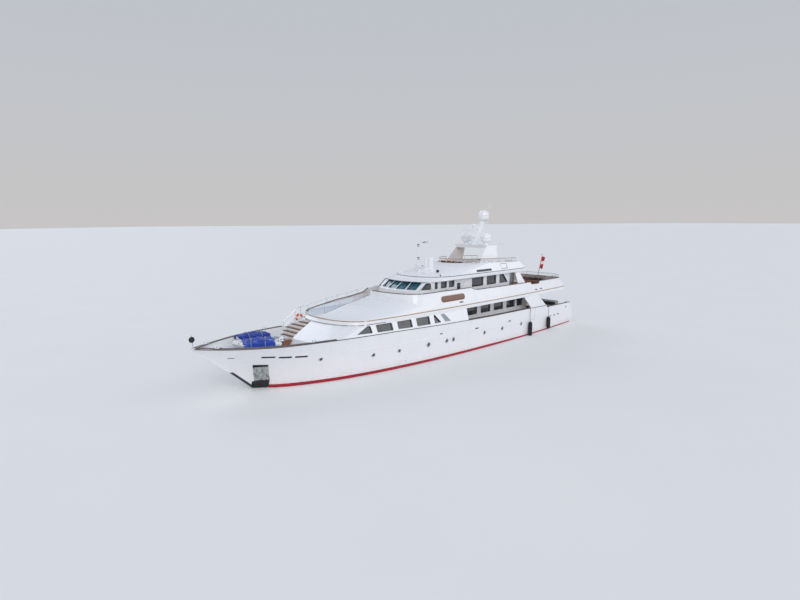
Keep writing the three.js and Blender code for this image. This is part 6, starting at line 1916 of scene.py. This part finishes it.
def lash_down(name, boat, table, shares, hem):
    """Webbing straps over a cover, down to its chocks."""
    straps = Shape("grey")
    for share in shares:
        x, half, shoulder, ridge, _ = table[round(share * (len(table) - 1))]
        points = [p + UP * 0.045 for p in cover_section((x, half + 0.02, shoulder, ridge, hem - 0.1))]
        corners = ((-0.025, 0), (-0.025, 0.006), (0.025, 0.006), (0.025, 0))
        webbing = [Vector((dx, 0, lift)) for dx, lift in corners]
        rows = [[p + corner for corner in webbing] for p in points]
        straps.skin(rows, closed=True, capped=True)
    placed = Shape("grey")
    placed.take(straps, boat["place"], boat["turn"])
    placed.piece(name, slot="blue_canvas")


# Flag

def build_ensign():
    """A flag that hangs from its staff."""
    head, drop = 7.6, 1.36
    def on_staff(z):
        return -19.98 - 0.97 * (z - 5.0) / 2.85
    rows = []
    for i in range(29):
        t = i / 28
        z = head - drop * t
        row = []
        for k in range(49):
            s = k / 48
            width = 0.6 - 0.14 * t
            wave = math.sin(2 * math.pi * (2.2 * s + 0.12 * math.sin(3 * t)) + 0.4 * t)
            deep = 0.1 * min(1.0, s * 5) * (0.75 + 0.25 * t)
            fall = 0.13 * s * s - 0.01 * math.sin(7 * s + 5 * t)
            row.append((on_staff(z) - 0.045 - width * s, deep * wave, z - fall))
        rows.append(row)
    cloth = Shape("flag")
    cloth.skin(rows)
    made = cloth.piece("ensign_cloth", slot="flag_cloth", sharp=80, replaces=("ensign",))
    solid = made.modifiers.new("cloth", "SOLIDIFY")
    solid.thickness = 0.0016
    hems = Shape("white")
    hems.tube([(on_staff(z) - 0.04, 0, z) for z in spread(head + 0.03, head - drop - 0.02, 0.2)], 0.012, 6)
    grommet = [(0.03, -0.012), (0.036, 0.0), (0.03, 0.012)]
    for z in (head + 0.02, head - drop - 0.01):
        hems.turned(grommet, (on_staff(z) - 0.01, 0, z), (-0.32, 0, 0.95), 12, "bronze")
    hems.piece("ensign_halyard", slot="stainless")


def build_ball_seams():
    """The seams of the ball on the bow's staff."""
    ball = Shape("black")
    for axis in (UP, (0, 1, 0)):
        ball.turned([(0.202, -0.012), (0.207, 0.0), (0.202, 0.012)], (BALL_X, 0, BALL_Z), axis, 28)
    ball.piece("anchor_ball_seams", slot="black_rubber")


# Settee on the aft deck

def build_settee():
    """A slatted base with eight sewn pads."""
    base = Shape("black")
    floor = AFT_DECK + 0.0012
    base.block((-20.95, -1.9, floor), (-20.16, 1.9, 1.74), 0.02)
    base.block((-20.97, -1.91, 1.735), (-20.14, 1.91, 1.76), 0.008, "varnish")
    base.block((-21.09, -1.9, 1.62), (-20.99, 1.9, 2.2), 0.02)
    for side in (-1, 1):
        low_y, high_y = sorted((side * 1.3, side * 1.9))
        base.block((-20.15, low_y, floor), (-19.51, high_y, 1.74), 0.02)
        base.block((-20.14, low_y - 0.01, 1.735), (-19.49, high_y + 0.01, 1.76), 0.008, "varnish")
    for z in spread(1.54, 1.72, 0.03):
        base.tube([(-20.15, -1.28, z), (-20.15, 1.28, z)], 0.008, 5)
        for side in (-1, 1):
            base.tube([(-19.5, side * 1.32, z), (-19.5, side * 1.88, z)], 0.008, 5)
    base.piece("settee_base", slot="black_rubber", replaces=("aft_settee",))
    forms = {}
    for k, y in enumerate((-1.27, 0.0, 1.27)):
        forms[f"settee_seat_pad_{k + 1}"] = ((-20.8, y - 0.6, 1.785), (-20.19, y + 0.6, 1.9))
        forms[f"settee_back_pad_{k + 1}"] = ((-20.965, y - 0.58, 1.93), (-20.86, y + 0.58, 2.29))
    for name, side in SIDES.items():
        low_y, high_y = sorted((side * 1.34, side * 1.87))
        forms[f"settee_end_pad_{name}"] = ((-20.12, low_y, 1.785), (-19.54, high_y, 1.9))
    sewn_cushions(forms, "charcoal")


SWELL_CAP, VOXEL = 0.012, 0.013  # how far cloth may swell, and its cells, in the model's metres


def sewn_cushions(forms, look):
    """Cushions as boxes of cloth that pressure fills, with piping sewn round them."""
    made = []
    for name, (low, high) in forms.items():
        form = Shape(look)
        form.block(low, high, edge=0.03)
        piece = form.piece(name, slot="cream_cloth", sharp=70)
        made.append(piece)
    swell(made)
    for piece in made:
        sew_piping(piece.name, *forms[piece.name])


def swell(made):
    """Fills boxes of cloth by pressure, and keeps the result as their meshes."""
    for piece in made:
        remesh = piece.modifiers.new("remesh", "REMESH")
        remesh.mode = "VOXEL"
        remesh.voxel_size = VOXEL
    starts = {}
    for piece in made:
        starts[piece.name] = points_of(keep_evaluated(piece))
        cloth = piece.modifiers.new("filled", "CLOTH")
        cloth.settings.quality = 4
        cloth.settings.use_pressure = True
        cloth.settings.uniform_pressure_force = 4.0
        cloth.settings.effector_weights.gravity = 0.0
    for moment in range(1, 21):
        scene.frame_set(moment)
    for piece in made:
        shaped = keep_evaluated(piece)
        start = starts[piece.name]
        move = points_of(shaped) - start
        far = np.linalg.norm(move, axis=1, keepdims=True)
        move *= np.minimum(1.0, SWELL_CAP / np.maximum(far, 1e-9))
        shaped.vertices.foreach_set("co", (start + move).ravel())
        shaped.update()
        shaped.shade_smooth()
        smooth = piece.modifiers.new("smooth", "SUBSURF")
        smooth.levels = smooth.render_levels = 1
    scene.frame_set(1)


def points_of(mesh):
    """A mesh's points as rows."""
    return np.array([list(v.co) for v in mesh.vertices])


def keep_evaluated(piece):
    """Puts the mesh that a piece's modifiers make in its place, and drops the modifiers."""
    shown = piece.evaluated_get(bpy.context.evaluated_depsgraph_get())
    shaped = bpy.data.meshes.new_from_object(shown)
    piece.modifiers.clear()
    old = piece.data
    piece.data = shaped
    bpy.data.meshes.remove(old)
    return shaped


def sew_piping(name, low, high):
    """Piping along a cushion's edges, which follows its pulled-in sides."""
    thin = min(range(3), key=lambda i: high[i] - low[i])
    first, last = (i for i in range(3) if i != thin)
    grow = SWELL_CAP / SCALE * 0.55
    long, wide = high[first] - low[first], high[last] - low[last]
    piping = Shape("grey")
    for level in (low[thin] + 0.012, high[thin] - 0.012):
        path = []
        for u, v in divided([Vector(p) for p in rounded_outline(long + grow, wide + grow, 0.05)], 0.1):
            pull = 0.35 * grow * (1 - abs(2 * u / long)) * (1 - abs(2 * v / wide))
            point = [level] * 3
            point[first] = (low[first] + high[first]) / 2 + u - math.copysign(pull, u)
            point[last] = (low[last] + high[last]) / 2 + v - math.copysign(pull, v)
            path.append(point)
        piping.tube(path, 0.009, 6, ring=True)
    piping.piece(f"{name}_piping", slot="cream_cloth")


# Stern

def build_stern():
    """Mooring gear, a warping drum at each side and the platform's ladder."""
    gear = Shape("steel")
    for side in (-1, 1):
        cleat(gear, -22.75, side * 2.35, PLATFORM, 90)
        bollard(gear, -19.0, side * 3.35, AFT_DECK)
        drum = [(0.13, 0.0), (0.13, 0.03), (0.085, 0.07), (0.08, 0.22), (0.12, 0.28), (0.12, 0.31), (0.03, 0.33)]
        gear.turned(drum, (-20.2, side * 3.15, AFT_DECK), sides=20)
    for y in (1.95, 2.25):
        path = flowing([(-22.62, y, PLATFORM), (-22.64, y, 0.95), (-22.8, y, 1.06), (-22.95, y, 0.9),
                        (-23.05, y, PLATFORM)], 0.1)
        gear.tube(path, 0.018, 8)
    for k in range(3):
        gear.tube([(-22.63, 1.95, 0.66 + 0.14 * k), (-22.63, 2.25, 0.66 + 0.14 * k)], 0.014, 8)
    gear.piece("stern_fittings", slot="stainless")


make_camera()
make_light()
make_floor(MATERIALS["floor"])
dress_nodes()
for build in (
    build_bands, build_portholes, build_side_openings, build_gold_stripe, build_deck_edge_shadow,
    build_roof_stripe, build_upper_cap_rail, build_coach_edge_line, build_window_rims, build_wheelhouse_front,
    build_side_plates, build_mast_lamps, build_aerials, build_dome_seams, build_roof_lamps,
    build_sundeck_rail, build_sundeck_seats, build_chairs, build_lounge_seats, build_stair_rails,
    build_stern_wires, build_step_treads, build_walkway_rails, build_lifebuoy, build_foredeck_fittings,
    build_foredeck_hatches, build_deck_box, build_fairleads, build_near_boat, build_far_boat, build_ensign,
    build_ball_seams, build_settee, build_stern,
):
    build()
